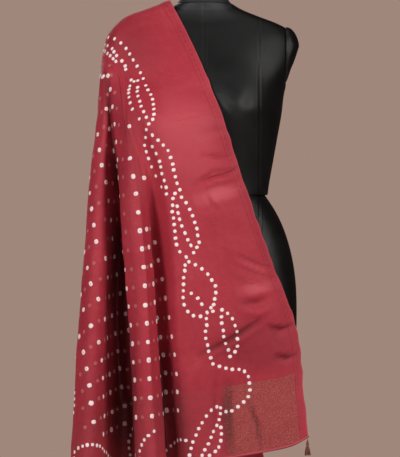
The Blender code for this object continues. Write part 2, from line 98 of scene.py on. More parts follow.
# ---- the drape, as in the CAD source
RIM_HEIGHT = 1.374          # where the hanging cloth leaves the shoulder
LOW_HEIGHT = 0.771          # height at which the side and back folds are measured
FRONT_LEVELS = (1.374, 1.296, 1.217, 1.036, 0.901, 0.771)
BAND_SHARE = 0.183          # share of a fold's drop that the end band takes
REST_CLEARANCE = 0.0035     # from the form to the middle of the cloth that lies on it
CREST_HALF_WIDTH = 0.012    # cloth this near to the middle plane stays on the crest line
RIM_STEP = 0.02             # height over which the slope of the falls at the rim is measured
# Over the shoulder: how strongly each arch follows the slope of the fall, the way to the side
# and the way over the crest, and how late towards the side the second takes over.
LEAVE_PULL = 1.25
SIDE_PULL = 1.6
CREST_PULL = 1.5
TURN_POWER = 4

# name, x at each level, y at each level, height of the cloth's end, in millimetres
FRONT_LINES = (
    ("inner_selvage", (5, 35, 60, 123, 173, 187), (-96, -138, -132, -112, -98, -104), 705),
    ("edge_side", (-17, 13, 39, 100, 141, 153), (-98, -146, -142, -128, -118, -116), 688),
    ("panel_right", (-45, -17, 7, 63, 89, 100), (-98, -150, -150, -142, -136, -128), 677),
    ("panel_middle", (-77, -54, -30, 18, 33, 41), (-94, -152, -154, -152, -148, -138), 667),
    ("panel_left", (-107, -85, -59, -19, -11, -4), (-86, -149, -156, -158, -156, -146), 660),
    ("panel_ridge", (-128, -110, -80, -48, -43, -35), (-79, -142, -153, -158, -158, -150), 655),
    ("valley_one", (-141, -127, -98, -76, -69, -58), (-73, -132, -142, -124, -119, -116), 652),
    ("ridge_turn", (-152, -140, -117, -96, -87, -78), (-67, -122, -147, -154, -158, -158), 648),
    ("front_ridge", (-162, -151, -136, -113, -105, -98), (-62, -112, -143, -166, -172, -172), 645),
    ("front_flank", (-173, -167, -159, -142, -132, -125), (-58, -92, -108, -122, -128, -130), 640),
    ("valley_two", (-180, -176, -171, -163, -160, -156), (-54, -74, -74, -72, -74, -78), 628),
    ("side_turn", (-186, -181, -180, -178, -183, -184), (-51, -78, -86, -102, -112, -118), 612),
    ("side_ridge", (-190, -189, -192, -198, -205, -210), (-49, -76, -90, -118, -134, -142), 595),
    ("outline", (-195, -201, -211, -225, -235, -242), (-42, -58, -68, -86, -98, -104), 560),
)
# name, x and y at LOW_HEIGHT, height of the cloth's end
SIDE_LINES = (
    ("side_valley_1", -202, -74, 525),
    ("side_fold_2", -236, -56, 470),
    ("side_valley_2", -195, -38, 425),
    ("side_fold_3", -236, -18, 400),
    ("side_valley_3", -189, 4, 610),
    ("side_fold_4", -236, 24, 760),
    ("side_valley_4", -186, 44, 785),
    ("side_fold_5", -228, 68, 680),
)
# name, x and y at the rim, x and y at LOW_HEIGHT, height of the cloth's end
BACK_LINES = (
    ("back_valley_5", -195, 42, -176, 78, 430),
    ("back_fold_6", -191, 50, -210, 112, 130),
    ("back_valley_6", -186, 56, -152, 108, 160),
    ("back_fold_7", -179, 61, -168, 150, 190),
    ("back_valley_7", -170, 66, -118, 126, 215),
    ("back_fold_8", -159, 71, -118, 164, 235),
    ("back_valley_8", -146, 76, -76, 131, 255),
    ("back_fold_9", -130, 82, -60, 158, 280),
    ("back_panel_a", -110, 86, -36, 153, 305),
    ("back_panel_b", -88, 92, -10, 150, 330),
    ("back_panel_c", -66, 97, 18, 146, 360),
    ("back_panel_d", -42, 101, 46, 140, 390),
    ("back_panel_e", -20, 104, 72, 133, 420),
    ("back_selvage", 2, 106, 96, 124, 450),
)
CREST_LINE = ((-65, 1523), (-112, 1505), (-157, 1486), (-179, 1463), (-190, 1431),
              (-195, 1401), (-197, 1374))

# Grid columns between two neighbouring lines: finer on the flat panels than in the folds.
PANEL_SPANS = 5
PANEL_STEPS = 11
FOLD_STEPS = 8
BODY_ROWS = 100
BAND_ROWS = 20

# ---- how the threads run in the drape
# The thread that runs down the crest of the front ridge, and the fold line where the cloth starts to
# be gathered towards it, above and below two heights.
RIDGE_GRAIN = 0.3635
RIDGE_START = (6.8, 5.0, 1.22, 1.06)
# The thread on the crest of the side ridge at the rim and where its fold is fully open.
SIDE_GRAIN = (0.44, 0.519)
SIDE_HEIGHTS = (1.374, 1.045)
# Width gathered at the rim behind, the fold lines from the selvage between which it grows, and the
# height below which nothing is gathered.
BACK_GATHER = 0.22
GATHER_LINES = (6.5, 12.0)
GATHER_FOOT = 1.05
LEAST_CLIMB = 0.3           # least share of a step down a column that counts along the threads

# ---- folds and creases of the cloth
# How far the cloth of the valleys is tucked in between the folds: place among the fold lines, then
# the moves in x and y low down, in millimetres. The heights are where the tucks start and are full.
VALLEY_TUCKS = (
    (5.0, -3, -1), (5.25, -6, -2), (5.5, -11, 8), (6.0, -18, 12), (6.5, -13, 12), (7.0, 0, 17),
    (7.5, -2, 8), (8.0, 0, 0), (8.5, -4, -12), (9.0, -7, -13), (9.5, 11, -2), (10.0, 18, 18),
    (10.5, 13, 40), (11.0, 8, 38), (11.5, 6, 12), (12.0, 0, 0), (13.0, 0, 0), (14.0, 8, 0),
    (15.0, 0, 0), (16.0, 9, 0), (17.0, 0, 0), (18.0, 8, 0), (19.0, 0, 0), (20.0, 8, 0),
    (21.0, 0, 0), (22.0, 5, -20), (23.0, 0, 0), (24.0, 0, -42), (25.0, 0, 0), (26.0, 0, -30),
    (27.0, 0, 0), (28.0, 0, -18), (29.0, 0, 0), (30.0, 0, 0),
)
VALLEY_HEIGHTS = (1.32, 1.05)
# Painted shade where the cloth lies deepest in its folds and painted light where it stands proud,
# on the flat cloth: half width in millimetres, how much (a negative amount is painted light), and
# the points of a line.
PAINTED_FOLD_SHADING = (
    (48, 1, ((508, 0), (508, 110), (490, 200), (462, 350), (438, 460), (425, 550))),
    (30, 0.35, ((330, 90), (285, 200), (245, 340), (200, 460))),
    (4.5, 0.5, ((92, 506), (72, 514), (40, 519), (4, 524))),
    (14, -0.6, ((96, 474), (56, 484), (12, 488))),
    (4, 0.4, ((78, 483), (76, 467), (72, 451))),
    (6, 0.32, ((198, 196), (135, 216), (72, 242))),
    (6, 0.42, ((95, 275), (47, 279))),
    (12, -0.7, ((86, 296), (40, 300), (12, 296))),
    (4, 0.42, ((109, 97), (98, 51), (93, 4))),
    (12, 0.42, ((149, 136), (153, 78), (154, 4))),
    (4, 0.42, ((56, 228), (30, 216), (8, 212))),
    (4, 0.42, ((52, 171), (30, 160), (12, 157))),
    (4, 0.4, ((70, 372), (40, 352), (10, 330))),
    (4, 0.35, ((78, 350), (44, 330), (14, 312))),
    (5, 0.35, ((90, 330), (56, 312), (24, 300))),
    (6, -0.4, ((75, 361), (44, 341), (14, 322))),
    (6, 0.35, ((60, 560), (30, 556), (4, 550))),
    (60, -0.5, ((40, 700), (80, 600), (85, 500))),
    (30, 0.44, ((262, 200), (255, 100), (250, -50))),
    (22, 0.42, ((305, 190), (305, 90), (305, -50))),
    (18, 0.46, ((416, 20), (414, 100), (408, 180), (398, 300))),
    (22, 0.6, ((425, 780), (428, 660), (436, 540))),
    (55, 0.3, ((180, 250), (90, 200), (0, 170))),
    (80, 0.3, ((30, 800), (100, 830), (200, 840))),
    (70, 0.24, ((600, 60), (590, 200), (570, 340))),
    (70, 0.3, ((380, 770), (300, 610), (290, 450))),
    (170, 0.16, ((-200, 50), (1060, 50))),
)
# Soft creases of the front fall, as lines of x and z, all in millimetres: width, depth below the
# cloth, and the points; a negative depth is a ridge.
CREASES = (
    (8, 3.6, ((-11, 1172), (16, 1190), (54, 1196))),
    (12, -2.6, ((-13, 1159), (20, 1177), (56, 1184))),
    (7, 1.4, ((6, 1152), (14, 1140), (24, 1124))),
    (6, -1, ((12, 1152), (20, 1140), (29, 1126))),
    (8, 1.8, ((-10, 852), (45, 882), (104, 914))),
    (10, -1.4, ((-8, 842), (47, 872), (106, 905))),
    (16, 3, ((70, 955), (96, 948), (120, 956))),
    (14, -2.6, ((72, 938), (98, 931), (122, 938))),
    (12, 2.4, ((118, 905), (140, 898), (158, 902))),
    (10, 2, ((128, 850), (150, 846), (168, 852))),
    (12, 2.4, ((88, 752), (100, 720), (112, 682))),
    (12, -1.8, ((101, 754), (112, 722), (124, 684))),
    (18, 4, ((30, 830), (26, 760), (24, 668))),
    (14, -1.4, ((-70, 1345), (-30, 1362), (4, 1366))),
    (12, 1.4, ((-10, 1260), (20, 1271), (48, 1270))),
)
CREASE_DEPTH = 1.7          # how deep the creases are pressed, against their charted depths
FRONT_FACE = -0.03          # the creases lie on cloth further forward than this
# Slow swell of slack cloth: number of waves, their least and greatest length, their height, and how
# far in from the selvage they are full.
SWELLS = 7
SWELL_LENGTHS = (0.05, 0.16)
SWELL_HEIGHT = 0.0016
SWELL_INSET = 0.03
PUCKER_REACH = 0.010        # how far in from the selvage its puckers fade
PUCKER_PITCH = 2.2          # how close they follow each other, against the swells
PUCKER_STRETCH = 0.1        # how close across the cloth
PUCKER_DEPTH = 0.0024
# Sharp creases that run in from the selvage, too fine for the shell: the height v on the flat cloth
# is a + b * u + c * u * u between two places u; then the half width, and the depth, which is
# negative for a ridge.
# a, b, c, first u, last u, half width, depth
FINE_CREASES = (
    (0.5255, -0.05, -1.8, 0.006, 0.096, 0.0026, 1.0),
    (0.4885, 0.00, -1.6, 0.010, 0.100, 0.0032, -0.7),
    (0.3220, 0.75, -0.5, 0.006, 0.074, 0.0020, 0.5),
    (0.3035, 0.60, 0.0, 0.010, 0.084, 0.0020, 0.5),
    (0.2930, 0.25, 1.8, 0.008, 0.094, 0.0022, -0.5),
    (0.2700, -0.38, 0.0, 0.066, 0.205, 0.0024, 0.7),
    (0.2115, 0.00, 5.0, 0.006, 0.060, 0.0022, 0.6),
    (0.1560, 0.00, 4.6, 0.006, 0.056, 0.0022, 0.6),
    (0.5490, 0.20, 0.0, 0.004, 0.070, 0.0018, 0.5),
    (0.3900, 0.55, 0.0, 0.004, 0.060, 0.0018, 0.4),
    (0.6400, -0.15, 0.0, 0.020, 0.120, 0.0020, 0.4),
)
CREASE_PRESS = 0.0030       # how deep a full fine crease is pressed
CREASE_START = (0.004, 0.006)           # before and after its first u, where it comes up
CREASE_FADE = 0.45          # share of its length over which it fades out

# ---- the dress form, as in the CAD source
# height, half width, depth in front, depth behind, in millimetres
BODICE_SECTIONS = (
    (1153, 121, 92, 84), (1176, 124, 94, 84), (1215, 131, 102, 88), (1260, 139, 112, 93),
    (1305, 147, 114, 98), (1345, 152, 108, 101), (1372, 160, 100, 102), (1395, 168, 91, 100),
    (1425, 172, 78, 92), (1450, 170, 65, 80), (1466, 161, 55, 68), (1479, 138, 48, 58),
    (1492, 104, 44, 51), (1505, 72, 42, 47), (1517, 52, 41, 44),
)
HIP_SECTIONS = (
    (764, 166, 101, 116), (800, 170, 103, 118), (860, 174, 106, 122), (920, 176, 107, 125),
    (975, 175, 106, 124), (1020, 170, 103, 119), (1060, 161, 99, 109), (1095, 149, 95, 99),
    (1125, 134, 90, 89), (1151, 117, 86, 80),
)
# The top of the hip part stands inside the bodice at the waist.
WAIST_SECTIONS = ((1158, 112, 82, 75), (1168, 106, 77, 70))
NECK_SECTIONS = ((1517.4, 51, 40, 43), (1525, 46, 39, 42), (1545, 43, 39, 41), (1600, 43, 39, 41))
BUST_HEIGHT = 1.322
BUST_SPREAD = 0.080
BUST_RISE = 0.020
BUST_RADIUS = 0.052
FORM_FULLNESS = 2.3         # 2 is an oval, more is squarer
ARMHOLE = 0.155             # the bodice is cut off at this distance from its middle
CAP_HEIGHT = 1.4240         # middle of a shoulder cap
CAP_HALF_HEIGHT = 0.056
CAP_HALF_DEPTH = 0.038
CAP_RISE = 0.027
CAP_TOP_SHARE = 0.86        # of its half height, that a cap rises above its middle
# How full a cap is between its foot and its top, and what keeps it inside its plain form.
CAP_FULLNESS = ((-1.0, 0.25), (-0.55, 0.45), (-0.05, 0.84), (0.2, 1.0), (0.75, 1.0), (1.0, 1.0))
CAP_EASE = 0.985
CAP_SIDES = 64
CAP_RINGS = 14
CAP_GAP = 0.0004            # from the armhole to its cap
# The neck seam of the form: its height at the sides, and how steeply it falls to the front.
NECK_SEAM = 1.5225
NECK_SLOPE = 0.53
FORM_SIDES = 160            # points round a section
FORM_REFINE = 6             # sections between two of the tables

# ---- camera, light and floor
IMAGE_HEIGHT = 457          # pixels
PIXEL = 0.0019              # metres at the middle plane of the form
SENSOR = 36.0               # millimetres
CAMERA_AWAY = 6.0
CAMERA_X = -0.0076
CAMERA_HEIGHT = 1.0895
LIGHTS_AIM = (-0.03, 0.0, 1.15)
FLOOR_SIDES = 96
FLOOR_RADIUS = 2.6
BACKDROP = (0.352, 0.242, 0.202)
AMBIENT = 0.10              # brightness of the backdrop as a light, against how it looks
# name, place, power in watts, size, colour
LIGHTS = (
    ("front_light", (0.3, -4.6, 1.7), 26.0, 1.2, (1.0, 0.975, 0.95)),
    ("right_light", (3.1, -3.3, 3.0), 122.0, 1.2, (1.0, 0.98, 0.96)),
    ("left_light", (-3.3, -3.1, 2.8), 112.0, 1.2, (0.99, 0.985, 0.98)),
    ("top_light", (0.4, -0.2, 4.2), 9.0, 1.6, (1.0, 0.98, 0.96)),
    ("back_light", (-1.6, 3.6, 2.6), 45.0, 2.4, (1.0, 0.98, 0.96)),
)


# ---- curves and grids

def through(places, values, at):
    """Smooth curve through values at increasing places, read at each of at; straight past the ends."""
    places = np.asarray(places, float)
    values = np.asarray(values, float)
    shape = values.shape[1:]
    values = values.reshape(len(places), -1)
    steps = np.diff(places)[:, None]
    slopes = np.diff(values, axis=0) / steps
    tangents = np.empty_like(values)
    tangents[0] = slopes[0]
    tangents[-1] = slopes[-1]
    tangents[1:-1] = (slopes[:-1] * steps[1:] + slopes[1:] * steps[:-1]) / (steps[1:] + steps[:-1])
    at = np.asarray(at, float)
    span = np.clip(np.searchsorted(places, at, side="right") - 1, 0, len(places) - 2)
    width = (places[span + 1] - places[span])[:, None]
    t = (at - places[span])[:, None] / width
    inside = np.clip(t, 0.0, 1.0)
    a, b, c, d = hermite(inside)
    found = (a * values[span] + b * width * tangents[span]
             + c * values[span + 1] + d * width * tangents[span + 1])
    found += np.where(t < 0, t * width * tangents[span], 0.0)
    found += np.where(t > 1, (t - 1) * width * tangents[span + 1], 0.0)
    return found.reshape((len(at),) + shape)


def hermite(t):
    """Weights of the start point, start slope, end point and end slope at t."""
    return (2 * t ** 3 - 3 * t ** 2 + 1, t ** 3 - 2 * t ** 2 + t,
            -2 * t ** 3 + 3 * t ** 2, t ** 3 - t ** 2)


def run_along(points):
    """Length reached at each point of a line of points."""
    lengths = np.linalg.norm(np.diff(points, axis=0), axis=-1)
    return np.concatenate(([np.zeros(lengths.shape[1:])], np.cumsum(lengths, axis=0)))


def arc_fractions(points):
    """Share of its whole length reached at each point of a line, or of each column of a grid."""
    run = run_along(points)
    return run / run[-1]


def unit(vectors):
    """The vectors at length one."""
    return vectors / np.linalg.norm(vectors, axis=-1, keepdims=True)


def grid_normals(grid):
    """Unit normals of a grid of points whose rows run down and whose columns run across."""
    return unit(np.cross(np.gradient(grid, axis=0), np.gradient(grid, axis=1)))


def smooth_step(low, high, value):
    """Rises smoothly from 0 at low to 1 at high."""
    t = np.clip((np.asarray(value, float) - low) / (high - low), 0.0, 1.0)
    return t * t * (3 - 2 * t)


# ---- the surface of the form

def bust_rise(x, height):
    """How far the bust stands forward of the plain section."""
    rise = 0.0
    for centre in (-BUST_SPREAD, BUST_SPREAD):
        away = ((x - centre) ** 2 + (height - BUST_HEIGHT) ** 2) / BUST_RADIUS ** 2
        rise = rise + BUST_RISE * np.exp(-away)
    return rise


def depth_of_body(sections, points, bust):
    """Distance from the middle plane to the form's surface beside each point."""
    table = np.array(sections) * MM
    x, y, height = points.T
    rows = through(table[:, 0], table, np.clip(height, table[0, 0], table[-1, 0]))
    depth = np.where(y > 0, rows[:, 3], rows[:, 2] + (bust_rise(x, height) if bust else 0.0))
    across = np.abs(x) / (rows[:, 1] + REST_CLEARANCE)
    room = np.clip(1.0 - across ** FORM_FULLNESS, 0.0, 1.0)
    beside = (height >= table[0, 0]) & (height <= table[-1, 0])
    return np.where(beside, (depth + REST_CLEARANCE) * room ** (1 / FORM_FULLNESS), 0.0)


def depth_of_cap(points):
    """Distance from the middle plane to the surface of a shoulder cap beside each point."""
    x, _, height = points.T
    out = (np.abs(x) - ARMHOLE) / (CAP_RISE + REST_CLEARANCE)
    up = (height - CAP_HEIGHT) / (CAP_HALF_HEIGHT + REST_CLEARANCE)
    room = np.clip(1.0 - np.maximum(out, 0.0) ** 2 - up ** 2, 0.0, 1.0)
    return (CAP_HALF_DEPTH + REST_CLEARANCE) * np.sqrt(room)


def rest_on_form(grid):
    """Moves the points of a grid that lie inside the form out to its surface, front or back."""
    points = grid.reshape(-1, 3).copy()
    depth = np.maximum.reduce([
        depth_of_body(BODICE_SECTIONS, points, True),
        depth_of_body(HIP_SECTIONS, points, False),
        depth_of_cap(points),
    ])
    inside = (np.abs(points[:, 1]) < depth) & (np.abs(points[:, 1]) >= CREST_HALF_WIDTH)
    points[inside, 1] = np.copysign(depth, points[:, 1])[inside]
    return points.reshape(grid.shape)


# ---- the drape

def front_places():
    """Where the columns of the front fall lie among its fold lines; the back fall mirrors them."""
    panel = np.linspace(0, PANEL_SPANS, PANEL_SPANS * PANEL_STEPS + 1)
    spans = len(FRONT_LINES) - 1 - PANEL_SPANS
    folds = np.linspace(PANEL_SPANS, len(FRONT_LINES) - 1, spans * FOLD_STEPS + 1)
    return np.concatenate((panel, folds[1:]))


def front_lines_at(front_xy, heights):
    """Position of each front line at given heights, one height for each line."""
    depths = [-level for level in FRONT_LEVELS]
    xy = [through(depths, line, [-height])[0] for line, height in zip(front_xy, heights)]
    return np.column_stack((xy, heights))


def spread_at(rim, low, heights):
    """Position of side or back lines, which open out evenly from the rim."""
    share = ((RIM_HEIGHT - heights) / (RIM_HEIGHT - LOW_HEIGHT))[:, None]
    return np.column_stack((rim + (low - rim) * share, heights))


def shoulder_grid(front, front_slopes, back, back_slopes, rows):
    """Cloth over the shoulder: one arch from the front rim over the crest to the back rim in each
    column, ending in the arch that lies round the side of the shoulder."""
    shares = arc_fractions(front)
    line = np.array([(x, 0.0, z) for x, z in CREST_LINE]) * MM
    crest = through(arc_fractions(line), line, shares)
    turn = (shares ** TURN_POWER)[:, None]
    grid = np.empty((rows + 1, len(front), 3))
    for row in range(rows + 1):
        place = row / rows
        if place <= 0.5:
            start, slope, t = front, front_slopes, place * 2
        else:
            start, slope, t = back, back_slopes, (1 - place) * 2
        reach = np.linalg.norm(crest - start, axis=1, keepdims=True)
        sideways = (crest - start) * (1, 0, 1)
        leave = -slope * (1 - turn) * reach * LEAVE_PULL + sideways * turn * SIDE_PULL
        arrive = (crest - start) * (0, CREST_PULL, 0)
        a, b, c, d = hermite(t)
        grid[row] = a * start + b * leave + c * crest + d * arrive
    return grid


def drape():
    """Grids of the shoulder stretch and of the hanging skirt of cloth, which share their rim."""
    front_xy = np.array([list(zip(xs, ys)) for _, xs, ys, _ in FRONT_LINES]) * MM
    back_rim = np.array([(x, y) for _, x, y, *_ in BACK_LINES]) * MM
    back_low = np.array([(x, y) for *_, x, y, _ in BACK_LINES]) * MM
    side_low = np.array([(x, y) for _, x, y, _ in SIDE_LINES]) * MM
    ends = np.array([line[-1] for line in FRONT_LINES + SIDE_LINES + BACK_LINES]) * MM
    count = len(FRONT_LINES)
    sides = len(SIDE_LINES)
    index = np.arange(count)
    front_at = front_places()
    back_at = count - 1 - front_at[::-1]
    side_rows = (sides + 1) * FOLD_STEPS

    rim = np.full(count, RIM_HEIGHT)
    front_top = through(index, front_lines_at(front_xy, rim), front_at)
    front_next = through(index, front_lines_at(front_xy, rim - RIM_STEP), front_at)
    back_top = through(index, spread_at(back_rim, back_low, rim), back_at)
    back_next = through(index, spread_at(back_rim, back_low, rim - RIM_STEP), back_at)
    shoulder = shoulder_grid(front_top, unit(front_next - front_top), back_top[::-1],
                             unit(back_next - back_top)[::-1], side_rows)
    side_lines = shoulder[::FOLD_STEPS, -1][1:-1, :2]

    side_at = np.linspace(count - 1, count + sides, side_rows + 1)
    places = np.concatenate((front_at, side_at[1:-1], back_at + count + sides))
    lines = np.arange(len(ends))
    rows = []
    for share in skirt_shares():
        heights = RIM_HEIGHT + (ends - RIM_HEIGHT) * share
        front = front_lines_at(front_xy, heights[:count])
        side = spread_at(side_lines, side_low, heights[count:count + sides])
        back = spread_at(back_rim, back_low, heights[count + sides:])
        rows.append(through(lines, np.vstack((front, side, back)), places))
    skirt = np.array(rows)
    deepen_valleys(skirt, places)
    shoulder = rest_on_form(shoulder)
    skirt = rest_on_form(skirt)
    join_rim(shoulder, skirt)
    return shoulder, skirt, places


def join_rim(shoulder, skirt):
    """Gives the top row of the skirt the very points of the rim of the shoulder stretch."""
    first = shoulder.shape[1] - 1
    back = skirt.shape[1] - 1 - first
    skirt[0, :first + 1] = shoulder[0]
    skirt[0, first:back + 1] = shoulder[:, -1]
    skirt[0, back:] = shoulder[-1, ::-1]


def deepen_valleys(skirt, places):
    """Tucks the cloth of the valleys further in, under the edges that overhang them."""
    entries = np.array(VALLEY_TUCKS, float)
    inside = (places >= entries[0, 0]) & (places <= entries[-1, 0])
    moves = through(entries[:, 0], entries[:, 1:] * MM, places[inside])
    heights = skirt[:, inside, 2]
    amount = smooth_step(*VALLEY_HEIGHTS, heights)[..., None]
    skirt[:, inside, :2] += moves * amount


def skirt_shares():
    """Rows of the skirt as shares of its drop; the last rows hold the end bands."""
    upper = np.linspace(0.0, 1.0 - BAND_SHARE, BODY_ROWS + 1)
    lower = np.linspace(1.0 - BAND_SHARE, 1.0, BAND_ROWS + 1)
    return np.concatenate((upper, lower[1:]))


# ---- places on the flat cloth

def column_of(places, line, shift=0.0):
    """Index of the skirt column nearest to a fold line, moved by a part of a line if asked."""
    names = [entry[0] for entry in FRONT_LINES + SIDE_LINES + BACK_LINES]
    return int(np.argmin(np.abs(places - names.index(line) - shift)))


def climb(skirt, across):
    """Length along the cloth from its end up to each point, given its places on the width."""
    steps = np.linalg.norm(np.diff(skirt, axis=0), axis=-1)
    sideways = np.diff(across, axis=0)
    rise = np.sqrt(np.maximum(steps ** 2 - sideways ** 2, (LEAST_CLIMB * steps) ** 2))
    total = np.concatenate((np.zeros((1, skirt.shape[1])), np.cumsum(rise[::-1], axis=0)))
    return total[::-1]


def run_across(grid):
    """Length along each row of a grid from its first column."""
    return np.swapaxes(run_along(np.swapaxes(grid, 0, 1)), 0, 1)


def threads_across(skirt, run, places):
    """Place on the width of each point of the front fall: the length along its row, and the width
    that is gathered in above the folds, so that threads follow the crests of the two ridges."""
    crest, high = column_of(places, "front_ridge"), column_of(places, "side_ridge")
    heights = skirt[:, crest, 2]
    upper, lower, *levels = RIDGE_START
    start = upper + (lower - upper) * smooth_step(*levels, heights)
    at = places[:run.shape[1]]
    rise = np.clip((at - start[:, None]) / (places[crest] - start)[:, None], 0.0, 1.0)
    fall = np.clip((places[high] - at) / (places[high] - places[crest]), 0.0, 1.0)
    top, bottom = SIDE_HEIGHTS
    folded, opened = SIDE_GRAIN
    open_share = (top - skirt[:, high, 2]) / (top - bottom)
    side = folded + (opened - folded) * open_share
    side = np.where(open_share < 1.0, np.maximum(side, run[:, high]), run[:, high])
    ridge_move = (RIDGE_GRAIN - run[:, crest])[:, None] * rise * fall
    return run + ridge_move + (side - run[:, high])[:, None] * (1 - fall)


def gathered_behind(places, heights):
    """Width gathered in at the back above its folds, at each fold line counted from the selvage."""
    from_selvage = places[-1] - places
    rise = smooth_step(GATHER_FOOT, RIM_HEIGHT, heights)
    return BACK_GATHER * smooth_step(*GATHER_LINES, from_selvage) * rise


def flat_places(shoulder, skirt, places):
    """Place (u, v) on the flat cloth of every point of the shoulder and the skirt.

    The falls are measured along their rows from the inner selvage and up their columns from the
    end hem. The shoulder lies evenly between its two rims."""
    first = shoulder.shape[1] - 1
    back = skirt.shape[1] - 1 - first
    corner_front = column_of(places, "side_fold_3", -0.5)
    corner_back = column_of(places, "back_fold_6", 0.5)
    shares = skirt_shares()[:, None]

    run = run_across(skirt[:, :corner_front + 1])
    across = threads_across(skirt, run, places)
    along = climb(skirt[:, :corner_front + 1], across)

    back_run = run_across(skirt[:, :corner_back - 1:-1])
    gather = gathered_behind(places, skirt[..., 2])
    back_across = back_run * (1 + (WIDTH / back_run[-1, -1] - 1) * shares)
    back_across += gather[:, :corner_back - 1:-1]
    back_along = LENGTH - climb(skirt[:, :corner_back - 1:-1], back_across)

    flat = np.zeros(skirt.shape[:2] + (2,))
    flat[:, :first + 1] = np.stack((across, along), axis=-1)[:, :first + 1]
    flat[:, corner_back:] = np.stack((back_across, back_along), axis=-1)[:, ::-1]
    rim_run = run_along(skirt[0, ::-1])[:first + 1][::-1]
    flat[0, back:corner_back, 0] = (rim_run + gather[0, back:])[:corner_back - back]
    flat[0, back:corner_back, 1] = flat[0, corner_back, 1]

    share = arc_fractions(shoulder)[..., None]
    over = flat[0, None, :first + 1] * (1 - share) + flat[0, None, back:][:, ::-1] * share
    flat[0, first:back + 1] = over[:, -1]

    columns = np.arange(first, corner_back + 1)
    in_front = columns <= corner_front
    sides = side_places(run_along(skirt[:, columns]), flat[0, columns], in_front, across[-1, first:])
    # between the two outlines the columns take over the bends of the outlines on either side
    part = np.linspace(0, 1, len(columns))[None, :, None]
    bend_front = flat[:, first:first + 1] - sides[:, :1]
    bend_back = flat[:, corner_back:corner_back + 1] - sides[:, -1:]
    sides = sides + bend_front * (1 - part) + bend_back * part
    flat[:, columns[1:-1]] = sides[:, 1:-1]
    return over, flat


def side_places(run, rim, in_front, hem):
    """Flat places of the side columns, which run straight on the flat cloth from their places on
    the rim to where they end: in front on the hem, behind it on the outer selvage."""
    reach = run[-1]
    shortest = int(np.argmin(reach))
    count = len(rim)
    side = np.clip((np.arange(count) - shortest) / FOLD_STEPS, -1.0, 1.0)
    ends = np.empty((count, 2))
    ends[:, 0] = WIDTH
    ends[:, 1] = rim[:, 1] + side * np.sqrt(np.maximum(reach ** 2 - (WIDTH - rim[:, 0]) ** 2, 0.0))
    ends[in_front, 0] = hem[0] + (hem - hem[0]) * (WIDTH - hem[0]) / (hem[-1] - hem[0])
    ends[in_front, 1] = 0.0
    past = ~in_front
    ends[past, 1] -= np.interp(np.arange(past.sum()), (0, past.sum() - 1),
                               (ends[past, 1][0], ends[past, 1][-1] - LENGTH))
    share = (run / reach)[..., None]
    return rim * (1 - share) + ends * share


# ---- cloth meshes

class Cloth:
    """The drape as one surface: where each place of the flat cloth lies, and which way it faces."""

    def __init__(self):
        self.shoulder, self.skirt, self.places = drape()
        self.over_flat, self.skirt_flat = flat_places(self.shoulder, self.skirt, self.places)
        self.soften()
        self.over_normals, self.skirt_normals = shared_normals(self.shoulder, self.skirt)
        self.dots = dot_places()
        self.plant_trees()

    def soften(self):
        """Adds the creases, dents and slack that the plain fold lines leave out."""
        over, hanging = shared_normals(self.shoulder, self.skirt)
        self.skirt += hanging * relief(self.skirt, self.skirt_flat)[..., None]
        self.shoulder += over * relief(self.shoulder, self.over_flat)[..., None]
        # the stitched selvage puckers a little to and fro along its own line
        u, v = self.skirt_flat[..., 0], self.skirt_flat[..., 1]
        beat = waves(u * PUCKER_STRETCH, v * PUCKER_PITCH, PUCKER_SEED)
        across = unit(np.gradient(self.skirt, axis=1))
        self.skirt += across * (np.exp(-u / PUCKER_REACH) * beat * PUCKER_DEPTH)[..., None]
        join_rim(self.shoulder, self.skirt)

    def plant_trees(self):
        """Search trees over the flat cloth and over the drape, which share their triangles."""
        self.corners, self.facing, self.flats, quads = stacked((
            (self.skirt, self.skirt_normals, self.skirt_flat),
            (self.shoulder, self.over_normals, self.over_flat),
        ))
        self.triangles = np.vstack((quads[:, [0, 1, 2]], quads[:, [0, 2, 3]]))
        triangles = self.triangles.tolist()
        level = [(u, v, 0.0) for u, v in self.flats]
        self.flat_tree = BVHTree.FromPolygons(level, triangles, all_triangles=True)
        self.solid_tree = BVHTree.FromPolygons(self.corners.tolist(), triangles, all_triangles=True)

    def at(self, u, v):
        """Place and facing, in the frame, of a place on the flat cloth."""
        hit, _, index, _ = self.flat_tree.find_nearest((u, v, 0.0))
        abc = self.triangles[index]
        weights = barycentric(np.array(hit[:2]), *self.flats[abc])
        return weights @ self.corners[abc], unit(weights @ self.facing[abc])

    def nearest(self, point):
        """The place on the drape nearest to a point, and which way the cloth faces there."""
        hit, _, index, _ = self.solid_tree.find_nearest(Vector(point))
        abc = self.triangles[index]
        ends = self.corners[abc]
        away = np.linalg.norm(np.cross(ends[1] - ends[0], ends[2] - ends[0]))
        hit = np.array(hit)
        weights = np.array([np.linalg.norm(np.cross(ends[(k + 1) % 3] - hit, ends[(k + 2) % 3] - hit))
                            for k in range(3)]) / away
        return hit, unit(weights @ self.facing[abc])

    def frame_at(self, u, v, gathered=True):
        """Place on the drape of a place of the flat cloth, with the directions towards the outer
        selvage and towards the hem; none where the flat cloth has no place on the drape, or where
        it is gathered in, unless that is allowed."""
        _, _, _, missed = self.flat_tree.find_nearest((u, v, 0.0))
        if missed > MISS:
            return None
        middle, facing = self.at(u, v)
        width = np.linalg.norm(self.at(u + SMALL_STEP, v)[0] - self.at(u - SMALL_STEP, v)[0])
        if not gathered and width < GATHERED * 2 * SMALL_STEP:
            return None
        down = self.at(u, v - SMALL_STEP)[0] - self.at(u, v + SMALL_STEP)[0]
        down = down - facing * (down @ facing)
        if np.linalg.norm(down) < TINY:
            return None
        down = unit(down)
        return middle, np.cross(facing, down), down


